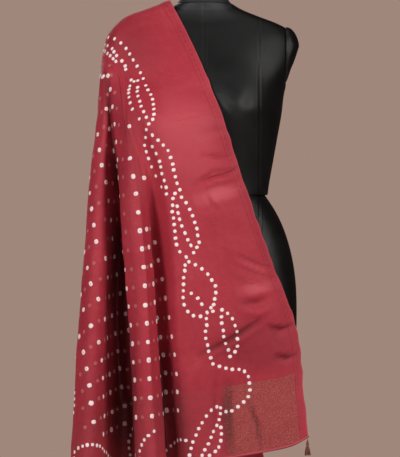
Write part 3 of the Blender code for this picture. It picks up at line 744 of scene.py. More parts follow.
def barycentric(point, a, b, c):
    """Weights of the corners of a triangle at a point in its plane."""
    ab, ac, ap = b - a, c - a, point - a
    area = ab[0] * ac[1] - ab[1] * ac[0]
    if abs(area) < NO_AREA:
        return np.array((1.0, 0.0, 0.0))
    s = (ap[0] * ac[1] - ap[1] * ac[0]) / area
    t = (ab[0] * ap[1] - ab[1] * ap[0]) / area
    return np.array((1 - s - t, s, t))


def shared_normals(shoulder, skirt):
    """Normals of both grids, made the same along the rim where they meet."""
    over = grid_normals(shoulder)
    hanging = -grid_normals(skirt)
    height, width = shoulder.shape[:2]
    rim = unit(np.vstack((over[0], over[1:-1, -1], over[-1, ::-1])) + hanging[0])
    hanging[0] = rim
    over[0] = rim[:width]
    over[:, -1] = rim[width - 1:width - 1 + height]
    over[-1] = rim[width + height - 2:][::-1]
    return over, hanging


def grid_faces(rows, columns):
    """Corner indices of the quads of a grid, turned so that each faces along the grid's normals."""
    a = (np.arange(rows - 1)[:, None] * columns + np.arange(columns - 1)).ravel()
    return np.column_stack((a, a + 1, a + columns + 1, a + columns))


def stacked(patches):
    """Points, normals, flat places and quads of grids that are laid one after the other."""
    points, facing, flats, quads = [], [], [], []
    count = 0
    for grid, normals, flat in patches:
        rows, columns = grid.shape[:2]
        points.append(grid.reshape(-1, 3))
        facing.append(normals.reshape(-1, 3))
        flats.append(flat.reshape(-1, 2))
        quads.append(grid_faces(rows, columns) + count)
        count += rows * columns
    return np.vstack(points), np.vstack(facing), np.vstack(flats), np.vstack(quads)


def shell(name, patches, thickness, finish):
    """Closed thin shell of cloth round one or more patches of grid, normals and flat places, which
    share one set of points where they meet. Its shading follows the grids' own normals."""
    points, facing, flats, quads = stacked(patches)
    # patches are joined where their points coincide
    keys = {}
    joined = np.empty(len(points), int)
    for index, key in enumerate(map(tuple, np.round(points / TINY).astype(np.int64))):
        joined[index] = keys.setdefault(key, index)
    kept, small = np.unique(joined, return_inverse=True)
    points, facing, flats = points[kept], facing[kept], flats[kept]
    quads = small[quads]
    # an edge that no second quad runs back along lies on the rim of the cloth
    sides = np.vstack([quads[:, [k, (k + 1) % 4]] for k in range(4)])
    edges = dict.fromkeys(map(tuple, sides.tolist()))
    border = [(a, b) for a, b in edges if (b, a) not in edges and a != b]
    a, b = np.array(border).T
    number = len(points)
    rim = np.column_stack((b, a, a + number, b + number))
    every = np.vstack((quads, quads[:, ::-1] + number, rim))
    both = np.vstack((points + facing * thickness / 2, points - facing * thickness / 2))
    mesh = bpy.data.meshes.new(name)
    mesh.from_pydata(both.tolist(), [], every.tolist())
    along, through_cloth = both[rim[:, 1]] - both[rim[:, 0]], both[rim[:, 2]] - both[rim[:, 0]]
    outward = unit(np.cross(along, through_cloth))
    loops = np.concatenate((facing[quads].reshape(-1, 3), -facing[quads[:, ::-1]].reshape(-1, 3),
                            np.repeat(outward, 4, axis=0)))
    mesh.shade_smooth()
    corners = every.ravel() % number
    uv_map(mesh, "flat", flats, corners)
    # the tone map holds the painted shade and painted light of the folds
    uv_map(mesh, "tone", shade_places(painted_fold_shading(*flats.T)), corners)
    mesh.normals_split_custom_set(loops.tolist())
    mesh.materials.append(finish)
    return add(name, mesh)


def uv_map(mesh, name, places, corners):
    """A UV map of the places of the points, for the point at each corner of the mesh."""
    layer = mesh.uv_layers.new(name=name)
    layer.data.foreach_set("uv", np.asarray(places, np.float32)[corners].ravel())


def shade_places(shades):
    """The depths of painted shade as places of a UV map, which is how a finish can read them."""
    return np.column_stack((shades, np.zeros(len(shades))))


def add(name, data):
    """A new object of the scene that shows this mesh, lamp or camera."""
    made = bpy.data.objects.new(name, data)
    bpy.context.scene.collection.objects.link(made)
    return made


def mesh_object(name, points, faces, finish, sharp=40.0, **maps):
    """A smooth object of points and faces, with edges sharper than an angle kept hard, and a UV
    map for each list of places given by name."""
    mesh = bpy.data.meshes.new(name)
    mesh.from_pydata([tuple(point) for point in points], [], [tuple(face) for face in faces])
    mesh.shade_smooth()
    if sharp is not None:
        mesh.set_sharp_from_angle(angle=math.radians(sharp))
    for map_name, places in maps.items():
        uv_map(mesh, map_name, places, np.concatenate([np.asarray(face) for face in faces]))
    mesh.materials.append(finish)
    return add(name, mesh)


# ---- creases

def near_line(x, y, line):
    """Distance from each (x, y) to a line of points, given in millimetres, and the share of the
    line reached there."""
    line = np.array(line) * MM
    lengths = np.linalg.norm(np.diff(line, axis=0), axis=1)
    run = np.concatenate(([0.0], np.cumsum(lengths)))
    best = np.full(x.shape, FAR)
    share = np.zeros(x.shape)
    for start, end, begun, length in zip(line[:-1], line[1:], run, lengths):
        along = ((x - start[0]) * (end[0] - start[0]) + (y - start[1]) * (end[1] - start[1]))
        t = np.clip(along / length ** 2, 0.0, 1.0)
        away = np.hypot(x - start[0] - t * (end[0] - start[0]), y - start[1] - t * (end[1] - start[1]))
        closer = away < best
        best = np.where(closer, away, best)
        share = np.where(closer, (begun + t * length) / run[-1], share)
    return best, share


def fade_out(share, margin, power):
    """Strength along a line that is strongest halfway and weakest within a margin of its ends."""
    return np.sin(np.pi * np.clip(share, margin, 1 - margin)) ** power


def painted_fold_shading(u, v):
    """How deep the painted shade of the cloth is at each flat place; painted light below zero."""
    tone = np.zeros(u.shape)
    for width, amount, line in PAINTED_FOLD_SHADING:
        away, share = near_line(u, v, line)
        tone += amount * fade_out(share, 0.06, 0.5) * np.exp(-(away / (width * MM)) ** 4)
    return tone


def waves(u, v, seed):
    """Slow uneven swell of slack cloth, between -1 and 1."""
    rng = np.random.default_rng(seed)
    total = np.zeros(u.shape)
    for _ in range(SWELLS):
        angle = rng.uniform(0, math.pi)
        length = rng.uniform(*SWELL_LENGTHS)
        phase = rng.uniform(0, 2 * math.pi)
        total += np.sin((u * math.cos(angle) + v * math.sin(angle)) * 2 * math.pi / length + phase)
    return total / SWELLS


def relief(grid, flat):
    """Height of the small folds above the plain drape, positive away from the form."""
    x, y, z = grid[..., 0], grid[..., 1], grid[..., 2]
    u, v = flat[..., 0], flat[..., 1]
    height = SWELL_HEIGHT * waves(u, v, SWELL_SEED) * smooth_step(0.0, SWELL_INSET, u)
    front = y < FRONT_FACE
    for width, depth, line in CREASES:
        away, share = near_line(x, z, line)
        pressed = fade_out(share, 0.04, 0.6) * np.exp(-(away / (width * MM / 2)) ** 2)
        height -= np.where(front, CREASE_DEPTH * depth * MM * pressed, 0.0)
    return height


# ---- tied dots

# One repeat of the border, in millimetres: distance towards the selvage from the middle line, and
# share of the step between two junctions of the vine. The vine bends one way beside a leaf, then
# the other way beside the next.
VINE_OUT = ((0, 0.0), (14, 0.12), (24, 0.24), (31, 0.42), (30, 0.60), (27, 0.80), (27, 1.0))
VINE_IN = ((27, 0.0), (13, 0.06), (2, 0.22), (-6, 0.44), (-13, 0.64), (-15, 0.84), (0, 1.0))
LEAF_IN = ((0, 1.06), (5, 0.90), (4, 0.72), (8, 0.52), (3, 0.34), (-8, 0.24), (-13, 0.40),
           (-16, 0.62), (-15, 0.86), (-8, 0.98), (0, 1.06))
LEAF_OUT = ((10, 0.88), (7, 0.64), (7, 0.42), (13, 0.18), (20, 0.04), (29, 0.16), (33, 0.38),
            (30, 0.62), (22, 0.80), (10, 0.88))
# The border beside the corners, where the vine swings wider round its last leaf.
LOW_VINE_OUT = ((-6, 0.0), (8, 0.10), (21, 0.33), (25, 0.56), (17, 0.78), (8, 0.92), (2, 1.06))
LOW_LEAF_IN = ((-14, 0.05), (-27, 0.34), (-38, 0.60), (-44, 0.80), (-45, 0.96), (-37, 1.08),
               (-24, 1.13), (-15, 1.02), (-14, 0.84), (-18, 0.70), (-26, 0.62), (-35, 0.58))
LOW_VINE_IN = ((0, -0.02), (-10, 0.06), (-17, 0.22), (-26, 0.42), (-28, 0.60), (-26, 0.80), (-23, 0.95))
SIDE_AXIS = 152             # middle line of the border, from the selvage
# Junctions of the vine up from the front corner; the steps after these are all alike.
JUNCTIONS = (171, 276, 362, 494, 610, 735)
VINE_STEP = 127.1
LINE_SAMPLES = 24           # samples a charted point, where a line of dots is drawn smooth
# Lines at a corner and along a hem, in millimetres: u from the inner selvage, v from the hem.
CORNER_VINE = ((174, 176), (154, 165), (136, 159), (120, 154), (111, 144), (108, 130), (108, 114),
    (112, 101), (124, 93), (142, 84), (153, 81), (158, 87), (163, 92))
END_LINES = (
    ((170, 94), (183, 89), (196, 75), (208, 59), (219, 43), (226, 28), (230, 13)),
    ((164, 81), (170, 62), (180, 49), (189, 35), (198, 22), (207, 10)),
    ((163, 66), (166, 46), (168, 32), (173, 20), (180, 12), (192, 7)),
    ((234, 41), (252, 44), (272, 37), (292, 26), (318, 19), (345, 9)),
    ((362, 70), (378, 60), (392, 45), (398, 30), (392, 14), (380, 5)),
    ((414, 6), (424, 32), (442, 60), (464, 84), (488, 88), (504, 72), (508, 48), (500, 24), (484, 7)),
    ((694, 97), (674, 101), (654, 98), (634, 91), (612, 80), (592, 68), (572, 56), (554, 40),
        (540, 22), (532, 6)),
    ((684, 88), (672, 78), (660, 62), (644, 42), (628, 24), (608, 8)),
)


def smooth_line(points):
    """A line drawn smoothly through the points."""
    points = np.array(points, float)
    at = np.linspace(0, 1, LINE_SAMPLES * len(points))
    return through(arc_fractions(points), points, at)


def even_steps(line, spacing, closed=False):
    """Points at even steps along a line; the last is left out where it would repeat the first."""
    run = run_along(line)
    count = max(int(round(run[-1] / spacing)), 2)
    at = np.linspace(0, run[-1], count + 1)
    if closed:
        at = at[:-1]
    return np.column_stack([np.interp(at, run, line[:, axis]) for axis in range(line.shape[1])])


def border_line(chart, start, end):
    """A line of the chart between two junctions along the side border."""
    return [(SIDE_AXIS - away, start + (end - start) * share) for away, share in chart]


def side_border():
    """Lines of dots of the border along one selvage, in millimetres like their charts."""
    stops = list(JUNCTIONS)
    while stops[-1] + VINE_STEP < LENGTH / MM - JUNCTIONS[0]:
        stops.append(stops[-1] + VINE_STEP)
    lines = []
    for number, (low, high) in enumerate(zip(stops[:-1], stops[1:])):
        # the vine is charted downwards, from the higher junction to the lower
        if number % 2:
            vine, leaf = VINE_OUT, LEAF_IN
        else:
            vine, leaf = VINE_IN, LEAF_OUT
        if number == 0:
            vine = LOW_VINE_IN
        elif number == 1:
            vine, leaf = LOW_VINE_OUT, LOW_LEAF_IN
        lines += [border_line(vine, high, low), border_line(leaf, high, low)]
    return lines


def turned_over(line, over_u, over_v):
    """The line in metres, mirrored to the other selvage or to the other end of the cloth."""
    return [(WIDTH - u * MM if over_u else u * MM, LENGTH - v * MM if over_v else v * MM)
            for u, v in line]


def dot_places():
    """Places of the dots on the flat cloth, each with its kind: chain, field or faint."""
    lines = []
    side = side_border()
    for over_u in (False, True):
        lines += [turned_over(line, over_u, False) for line in side]
        lines += [turned_over(CORNER_VINE, over_u, over_v) for over_v in (False, True)]
    for over_v in (False, True):
        lines += [turned_over(line, False, over_v) for line in END_LINES]
    dots = []
    for line in lines:
        closed = np.allclose(line[0], line[-1])
        dots += [(u, v, "chain") for u, v in even_steps(smooth_line(line), DOT_SPACING, closed)]
    taken = np.array([(u, v) for u, v, _ in dots])
    across = np.arange(FIELD_START, WIDTH - PLAIN_MARGIN + MM, FIELD_ACROSS)
    for v in np.arange(FIELD_LOW, LENGTH - FIELD_TOP, FIELD_ALONG):
        for u in across:
            for shift, kind in ((0.0, "field"), (FIELD_ACROSS / 2, "faint")):
                place = (u + shift, v)
                if np.min(np.hypot(*(taken - place).T)) > FIELD_CLEAR:
                    dots.append((*place, kind))
    kept = []
    for dot in dots:
        if all(math.dist(dot[:2], other[:2]) > DOT_APART for other in kept[-DOTS_BEFORE:]):
            kept.append(dot)
    return kept


def dot_outline(shape, size):
    """Corner points of one tied dot, plain and as it is drawn: a soft square, a little turned, with
    its own proportions."""
    turn = (shape[0] - 0.5) * DOT_TURN
    least, varies = DOT_SHARES
    half = size / 2 * (least + varies * shape[1:3])
    plain = []
    for step in range(DOT_SIDES):
        angle = 2 * math.pi * step / DOT_SIDES
        c, s = math.cos(angle), math.sin(angle)
        square = (abs(c) ** DOT_SQUARE + abs(s) ** DOT_SQUARE) ** (-1 / DOT_SQUARE)
        plain.append((square * c, square * s))
    c, s = math.cos(turn), math.sin(turn)
    return plain, [(half[0] * (x * c - y * s), half[1] * (x * s + y * c)) for x, y in plain]


def build_dots(cloth, name, kinds, size, finish, faces_out, rise):
    """Small squarish domed marks lying on the cloth, one for each dot of the given kinds."""
    rng = np.random.default_rng(DOT_SEED)
    points, faces, chart, shades = [], [], [], []
    placed, count = np.full((len(cloth.dots), 3), FAR), 0
    for u, v, kind in cloth.dots:
        shape = rng.uniform(0.0, 1.0, 6)
        if kind not in kinds:
            continue
        u += (shape[3] - 0.5) * DOT_DRIFT
        v += (shape[4] - 0.5) * DOT_DRIFT
        lie = cloth.frame_at(u, v, kind == "chain")
        if lie is None:
            continue
        middle, side, down = lie
        if np.min(np.linalg.norm(placed[:count + 1] - middle, axis=1)) < DOT_CLEAR:
            continue
        placed[count] = middle
        count += 1
        plain, drawn = dot_outline(shape, size)
        base = len(points)
        # each dot takes the painted shade of the folds at its place, for its tone map
        shades += [float(painted_fold_shading(np.array(u), np.array(v)))] * (2 * DOT_SIDES + 1)
        for ring, lift in DOT_RINGS:
            for step in range(DOT_SIDES if ring else 1):
                x, y = drawn[step]
                ground, facing = cloth.nearest(middle + side * (ring * x) + down * (ring * y))
                points.append(ground + facing * faces_out * (CLOTH / 2 + max(rise * lift, DOT_RIM)))
                # the shade of one dot is told by the whole part of its first coordinate
                across, along = (place * ring * DOT_CHART + 0.5 for place in plain[step])
                chart.append((across + math.floor(shape[5] * DOT_SHADES), along))
        for step in range(DOT_SIDES):
            a, b = base + step, base + (step + 1) % DOT_SIDES
            quad = (a, b, b + DOT_SIDES, a + DOT_SIDES)
            cap = (a + DOT_SIDES, b + DOT_SIDES, base + 2 * DOT_SIDES)
            faces += [quad, cap] if faces_out > 0 else [quad[::-1], cap[::-1]]
    return mesh_object(name, points, faces, finish, None, dot=chart, tone=shade_places(shades))


# ---- trims of the cloth

# Uneven pull of the side hem at its stitches: height, where across the hem and how wide, then the
# share, length and start of each slow wave.
PULL_HEIGHT = 0.0006
PULL_PLACE = 0.6
PULL_WIDTH = 0.005
PULL_WAVES = ((0.3, 0.047, 0.0), (0.3, 0.083, 1.0))
HEM_STEPS = 900             # rows of a side hem
HEM_ROW = 12                # points across it
HEM_OVERLAP = 0.0004        # step past the selvage, which is clipped to the selvage itself
HEM_SHORT = 0.0005          # how far it stops short of each end
HEM_FOLD = 0.0009           # how much thicker it is than the cloth
ROLL_STEP = 0.0028          # spacing of the rings of the rolled hem
ROLL_SIDES = 14
ROLL_HOLD = 0.0006          # how far the roll takes in the end of the cloth
ROLL_CHART = 0.02           # width of the roll, laid flat, on its UV map
# Twists of the roll: how far, length of a turn; and its thicker places: share, length, start.
ROLL_TWISTS = ((0.10, 0.011), (0.14, 2 * math.pi / 95.0))
ROLL_SWELL = (0.10, 0.0175, 0.8)
ROLL_GROOVE = (0.35, 0.0012, 0.0009)    # depth, place and width of the groove where it is sewn down


def ribbon(name, cloth, us, vs, finish):
    """Thin closed strip of cloth that lies on both faces of the stole between two widths."""
    flat = np.stack(np.meshgrid(us, vs), axis=-1)
    grid = np.empty((len(vs), len(us), 3))
    normals = np.empty_like(grid)
    for row, column in np.ndindex(len(vs), len(us)):
        grid[row, column], normals[row, column] = cloth.at(*flat[row, column])
    grid += normals * side_hem_lift(flat[..., 0], flat[..., 1])[..., None]
    return shell(name, [(grid, normals, flat)], CLOTH + HEM_FOLD, finish)


def side_hem_lift(u, v):
    """The turned hem pulls in a little at each stitch."""
    from_edge = np.minimum(u, WIDTH - u)
    pull = np.sin(2 * math.pi * v / STITCH) * 0.5 + 0.5
    for share, length, start in PULL_WAVES:
        pull = pull + share * np.sin(2 * math.pi * v / length + start)
    return PULL_HEIGHT * pull * np.exp(-((from_edge - SIDE_HEM * PULL_PLACE) / PULL_WIDTH) ** 2)


def hem_roll(name, cloth, columns, finish):
    """The rolled end hem, a soft uneven roll along the end of the cloth, and the line of its foot."""
    line = cloth.skirt[-1, columns]
    above = cloth.skirt[-3, columns]
    facing = cloth.skirt_normals[-1, columns]
    run = run_along(line)
    count = int(run[-1] / ROLL_STEP)
    at = np.linspace(0, run[-1], count)
    line = through(run, line, at)
    facing = unit(through(run, facing, at))
    along = unit(np.gradient(line, axis=0))
    down = unit(np.cross(along, facing))
    down *= np.sign(np.sum(down * (line - through(run, above, at)), axis=1))[:, None]
    share, length, start = ROLL_SWELL
    deep, place, wide = ROLL_GROOVE
    points, flats = [], []
    for index in range(count):
        twist = sum(far * math.sin(at[index] * 2 * math.pi / turn) for far, turn in ROLL_TWISTS)
        full = 1.0 + share * math.sin(at[index] * 2 * math.pi / length + start)
        for side in range(ROLL_SIDES):
            angle = 2 * math.pi * side / ROLL_SIDES + twist
            # a plump roll with a shallow groove where it is sewn down
            depth = HEM_DEPTH / 2 * (1 - math.cos(angle))
            groove = 1.0 - deep * math.exp(-((depth - place) / wide) ** 2)
            out = HEM_THICK / 2 * full * math.sin(angle) * groove
            points.append(line[index] + down[index] * (depth - ROLL_HOLD) + facing[index] * out)
            flats.append((at[index], side / ROLL_SIDES * ROLL_CHART))
    faces = tube_faces(count, ROLL_SIDES, 0)
    faces[-2:] = [face[::-1] for face in faces[-2:]]       # the two ends
    made = mesh_object(name, points, faces, finish, 60.0, flat=flats)
    return made, line + down * HEM_DEPTH


def tube_points(line, radii, sides):
    """Rings of points round a line, one radius for each of its points."""
    line = np.asarray(line, float)
    along = unit(np.gradient(line, axis=0))
    across = unit(np.cross(along, (0.31, 0.95, 0.07)))
    other = np.cross(along, across)
    angles = 2 * math.pi * np.arange(sides) / sides
    c, s = np.cos(angles)[None, :, None], np.sin(angles)[None, :, None]
    ring = c * across[:, None] + s * other[:, None]
    return (line[:, None] + ring * np.asarray(radii)[:, None, None]).reshape(-1, 3)


def tube_faces(rings, sides, base):
    """Faces round a tube of rings of points, with an end face at each end."""
    faces = []
    for ring in range(rings - 1):
        for side in range(sides):
            a = base + ring * sides + side
            b = base + ring * sides + (side + 1) % sides
            faces.append((a, b, b + sides, a + sides))
    faces.append(tuple(base + side for side in range(sides - 1, -1, -1)))
    faces.append(tuple(base + (rings - 1) * sides + side for side in range(sides)))
    return faces


# The bound neck of a tassel: how far each ring lies below its top, and its radius.
NECK_DROPS = (0.0, 0.0035, 0.0065, 0.0085, 0.0105, 0.0125)
NECK_RADII = (0.0008, 0.0010, 0.0020, 0.0031, 0.0030, 0.0018)
BINDINGS = (0.0052, 0.0122)             # how far down the two turns of binding lie
BINDING_RADII = (0.0019, 0.00055)       # of a turn, and of its thread
BINDING_TILT = 0.0002
BINDING_STEPS = 15
NECK_SIDES, BINDING_SIDES, THREAD_SIDES = 12, 6, 5
THREADS = 46
THREAD_LENGTHS = (0.90, 0.10)           # least share of the tassel's length, and how much it varies
GOLDEN_ANGLE = 2.399963
THREAD_START = 0.0122
THREAD_RADII = (0.0005, 0.0006, 0.0006, 0.0006, 0.00055, 0.0004)
SKIRT_WIDTHS = (0.0016, 0.0046)         # radius of the skirt at its top, and how much it opens
TASSEL_SWAY = 0.0012
THREAD_SWAY = 0.0006


def tassel(name, top, seed, finish):
    """A tassel of cut thread: a neck bound twice, and a skirt of separate uneven strands."""
    rng = np.random.default_rng(seed)
    points, faces = [], []

    def strand(line, radii, sides):
        faces.extend(tube_faces(len(line), sides, len(points)))
        points.extend(tube_points(line, radii, sides))

    top = np.array(top)
    strand([top - (0, 0, drop) for drop in NECK_DROPS], NECK_RADII, NECK_SIDES)
    radius, thick = BINDING_RADII
    for drop in BINDINGS:
        ring = []
        for a in np.linspace(0, 2 * math.pi, BINDING_STEPS):
            tilt = BINDING_TILT * math.sin(3 * a)
            ring.append(top + (radius * math.cos(a), radius * math.sin(a), tilt - drop))
        strand(ring, [thick] * len(ring), BINDING_SIDES)
    sway = rng.uniform(-TASSEL_SWAY, TASSEL_SWAY, 2)
    start, opens = SKIRT_WIDTHS
    least, varies = THREAD_LENGTHS
    for number in range(THREADS):
        angle = number * GOLDEN_ANGLE
        spread = math.sqrt((number + 0.5) / THREADS)
        length = TASSEL_LENGTH * (least + varies * rng.random()) - NECK_DROPS[-1]
        out = np.array((math.cos(angle), math.sin(angle))) * spread
        bend = rng.uniform(-THREAD_SWAY, THREAD_SWAY, 2)
        line = []
        for t in np.linspace(0, 1, len(THREAD_RADII)):
            xy = out * (start + opens * t ** 0.7) + (sway + bend) * t ** 2
            line.append(top + (*xy, -THREAD_START - length * t))
        strand(line, THREAD_RADII, THREAD_SIDES)
    return mesh_object(name, points, faces, finish, None)


# ---- the dress form and its stand

def form_ring(half_width, front, back, height, bust):
    """One level section of the form, flat at the armholes and fuller at the bust."""
    angles = 2 * math.pi * np.arange(FORM_SIDES) / FORM_SIDES
    c, s = np.cos(angles), np.sin(angles)
    x = half_width * np.copysign(np.abs(c) ** (2 / FORM_FULLNESS), c)
    y = np.where(s > 0, back, front) * np.copysign(np.abs(s) ** (2 / FORM_FULLNESS), s)
    if bust:
        x = np.clip(x, -ARMHOLE, ARMHOLE)
        y = y - np.where(s < 0, bust_rise(x, height), 0.0)
    return np.column_stack((x, y, np.full(FORM_SIDES, height)))


# Rings of the rounded edge of a body: share of the way in from its wall, and how far that is.
EDGE_STEPS = (0.35, 0.7, 1.0)
EDGE_INWARD = 0.02


def form_body(name, sections, finish, bust=False, edge=0.0015):
    """Smooth closed body through level sections, with a soft rounded edge at each end."""
    table = np.array(sections) * MM
    at = np.linspace(0, len(table) - 1, (len(table) - 1) * FORM_REFINE + 1)
    table = through(np.arange(len(table)), table, at)
    rings = [form_ring(*row[1:], row[0], bust) for row in table]
    for end, inward in ((0, 1), (-1, -1)):
        ring = rings[end]
        middle = ring.mean(axis=0)
        steps = []
        for t in EDGE_STEPS:
            lift = edge * (1 - math.sqrt(1 - (1 - t) ** 2)) if t < 1 else 0.0
            shrink = 1 - EDGE_INWARD * t ** 2
            moved = middle + (ring - middle) * (shrink, shrink, 1)
            moved[:, 2] = ring[0, 2] + inward * lift
            steps.append(moved)
        rings = steps[::-1] + rings[1:] if end == 0 else rings[:-1] + steps
    points = np.vstack(rings)
    faces = tube_faces(len(rings), FORM_SIDES, 0)
    return mesh_object(name, points, faces, finish, 50.0)


def shoulder_cap(name, side, finish):
    """Rounded cap that closes an armhole of the form."""
    angles = 2 * math.pi * np.arange(CAP_SIDES) / CAP_SIDES
    rings = []
    for out in np.linspace(0, 1, CAP_RINGS + 1)[:-1]:
        round_off = math.sqrt(1 - out ** 2)
        up = round_off * np.sin(angles)
        full = np.interp(up, *np.array(CAP_FULLNESS).T)
        height = CAP_HALF_HEIGHT * np.where(up > 0, CAP_TOP_SHARE, 1.0)
        x = side * (ARMHOLE + CAP_GAP + CAP_RISE * out * CAP_EASE * full)
        y = CAP_HALF_DEPTH * round_off * np.cos(angles)
        rings.append(np.column_stack((x, y, CAP_HEIGHT + height * up)))
    faces = tube_faces(len(rings), CAP_SIDES, 0)
    if side < 0:
        faces = [face[::-1] for face in faces]
    return mesh_object(name, np.vstack(rings), faces, finish, 50.0)


# ---- materials

class Finish:
    """A procedural material, built node by node."""

    def __init__(self, name, roughness=0.6, metallic=0.0, specular=0.5, sheen=0.0,
                 sheen_tint=(1, 1, 1)):
        self.made = bpy.data.materials.new(name)
        self.made.use_nodes = True
        self.tree = self.made.node_tree
        self.shader = self.tree.nodes["Principled BSDF"]
        self.set("Roughness", roughness)
        self.set("Metallic", metallic)
        self.set("Specular IOR Level", specular)
        self.set("Sheen Weight", sheen)
        self.set("Sheen Tint", (*sheen_tint, 1.0))
        self.set("Sheen Roughness", 0.5)

    def feed(self, socket, value):
        """Links a socket to the output of another node, or sets it to a plain value."""
        if isinstance(value, bpy.types.NodeSocket):
            self.tree.links.new(value, socket)
        else:
            socket.default_value = value

    def set(self, name, value):
        self.feed(self.shader.inputs[name], value)

    def done(self, colour, normal):
        """The finished material with its colour and its relief."""
        self.set("Base Color", colour)
        self.set("Normal", normal)
        return self.made

    def node(self, kind, settings=(), **inputs):
        """A new node; inputs are named with _ for a space, or by number as i0, i1 and so on."""
        made = self.tree.nodes.new(kind)
        for key, value in settings:
            setattr(made, key, value)
        for key, value in inputs.items():
            by_number = key[0] == "i" and key[1:].isdigit()
            self.feed(made.inputs[int(key[1:]) if by_number else key.replace("_", " ")], value)
        return made

    def math(self, operation, a, b=0.0, clamp=False):
        settings = (("operation", operation), ("use_clamp", clamp))
        return self.node("ShaderNodeMath", settings, i0=a, i1=b).outputs[0]

    def plus(self, a, b, clamp=False):
        return self.math("ADD", a, b, clamp)

    def minus(self, a, b):
        return self.math("SUBTRACT", a, b)

    def times(self, a, b):
        return self.math("MULTIPLY", a, b)

    def apart(self, a, b):
        """How far a is from b, either way."""
        return self.math("ABSOLUTE", self.minus(a, b))

    def swing(self, value, middle, share):
        """How far a value is above its middle, times a share."""
        return self.times(self.minus(value, middle), share)

    def from_ends(self, at, length):
        """How far a place is from the nearer end of a length."""
        return self.math("MINIMUM", at, self.minus(length, at))

    def place(self, uv_map=None):
        """Coordinates in metres: those of a UV map, or of the object."""
        if uv_map:
            return self.node("ShaderNodeUVMap", (("uv_map", uv_map),)).outputs["UV"]
        return self.node("ShaderNodeTexCoord").outputs["Object"]

    def stretched(self, where, scale, turn=0.0):
        """The coordinates with each axis scaled, so that noise in them runs into streaks."""
        return self.node("ShaderNodeMapping", Vector=where, Scale=scale,
                         Rotation=(0, 0, turn)).outputs["Vector"]

    def split(self, where):
        return self.node("ShaderNodeSeparateXYZ", Vector=where).outputs

    def shade(self):
        """How deep the painted shade of the cloth is, from the UV map made for it; below zero it is
        painted light.
        """
        return self.split(self.place("tone"))[0]

    def noise(self, where, scale, detail=2.0, rough=0.5, distortion=0.0):
        return self.node("ShaderNodeTexNoise", (("noise_dimensions", "3D"),), Vector=where, Scale=scale,
                         Detail=detail, Roughness=rough, Distortion=distortion).outputs["Fac"]

    def wave(self, where, scale, direction="X", distortion=0.0):
        return self.node("ShaderNodeTexWave", (("bands_direction", direction),), Vector=where,
                         Scale=scale, Distortion=distortion, Detail=1.0).outputs["Fac"]

    def ramp(self, value, low, high, out_low=0.0, out_high=1.0):
        """Goes smoothly from one output to the other as the value goes from low to high."""
        return self.node("ShaderNodeMapRange", (("interpolation_type", "SMOOTHSTEP"),), i0=value,
                         i1=low, i2=high, i3=out_low, i4=out_high).outputs[0]

    def mix(self, share, a, b):
        """Colour a, and as much of colour b over it as the share says."""
        a, b = [(*value, 1.0) if isinstance(value, tuple) else value for value in (a, b)]
        return self.node("ShaderNodeMix", (("data_type", "RGBA"),), i0=share, i6=a, i7=b).outputs[2]

    def bump(self, height, distance, strength=1.0, under=None):
        """Relief of a height, over the relief under it if there is one."""
        made = self.node("ShaderNodeBump", Height=height, Distance=distance, Strength=strength)
        if under is not None:
            self.tree.links.new(under, made.inputs["Normal"])
        return made.outputs["Normal"]


# The dye where it is even, where it took deep and where it took pale, then the cloth in deep shade
# and on a swell in the light.
MAROON = (0.43, 0.030, 0.050)
MAROON_DEEP = (0.30, 0.017, 0.030)
MAROON_PALE = (0.54, 0.058, 0.082)
MAROON_SHADE = (0.055, 0.0012, 0.0030)
MAROON_LIT = (0.66, 0.105, 0.135)
STITCH_SHADE = (0.13, 0.010, 0.017)
SELVAGE_LIT = (0.62, 0.095, 0.12)
ROLL_LIT = (0.55, 0.11, 0.12)
ROLL_SHADE = (0.16, 0.016, 0.024)
ZARI_GROUND = (0.27, 0.036, 0.040)
COPPER = (0.56, 0.190, 0.135)
DOT_IN_SHADE = (0.17, 0.022, 0.030)
# name, the dot, its dyed edge, the speck at its tie, how many of its shades have the speck
CHAIN_DOT = ("tied_dot_small", (0.97, 0.84, 0.83), (0.80, 0.36, 0.40), (0.55, 0.10, 0.13), 0)
PALE_DOT = ("tied_dot_field", (0.97, 0.82, 0.81), (0.78, 0.33, 0.37), (0.70, 0.26, 0.29), 5)
DYED_DOT = ("tied_dot_faint", (0.50, 0.11, 0.11), (0.42, 0.045, 0.065), (0.50, 0.10, 0.11), 0)
THREAD_DARK = (0.085, 0.022, 0.016)
THREAD_LIGHT = (0.24, 0.065, 0.045)
JERSEY_DARK = (0.0012, 0.0013, 0.0014)
JERSEY_LIGHT = (0.0028, 0.0030, 0.0032)
JERSEY_SEAMS = (0.0, 0.104)             # distances of the seams from the middle
NECK_DARK = (0.014, 0.015, 0.016)
NECK_LIGHT = (0.019, 0.020, 0.021)
ENAMEL = (0.012, 0.012, 0.013)
STEEL = (0.58, 0.58, 0.57)
FLOOR_COLOURS = ((0.60, 0.55, 0.52), (0.66, 0.61, 0.58))
WEAVE_PITCH = 0.00055       # from one thread to the next
STREAK = 1500               # streaks of slubs in a metre, across the thread
STREAK_ALONG = 40           # and along it
BAND_END = (0.150, 0.162)   # from the selvage, where the work of the end band thins out
SEAM_HALF = 0.0030          # half width of the groove of a seam
WELT = 0.0045               # from a seam to the ridge beside it


def weave(finish, where):
    """Height of a plain weave, warp and weft threads that pass over each other, and its slubs."""
    warp = finish.wave(where, 0.5 / WEAVE_PITCH, "X", 0.4)
    weft = finish.wave(where, 0.5 / WEAVE_PITCH, "Y", 0.4)
    along = finish.noise(finish.stretched(where, (STREAK, STREAK_ALONG, 1)), 1.0)
    across = finish.noise(finish.stretched(where, (STREAK_ALONG, STREAK, 1)), 1.0)
    return finish.times(warp, weft), finish.plus(along, across)


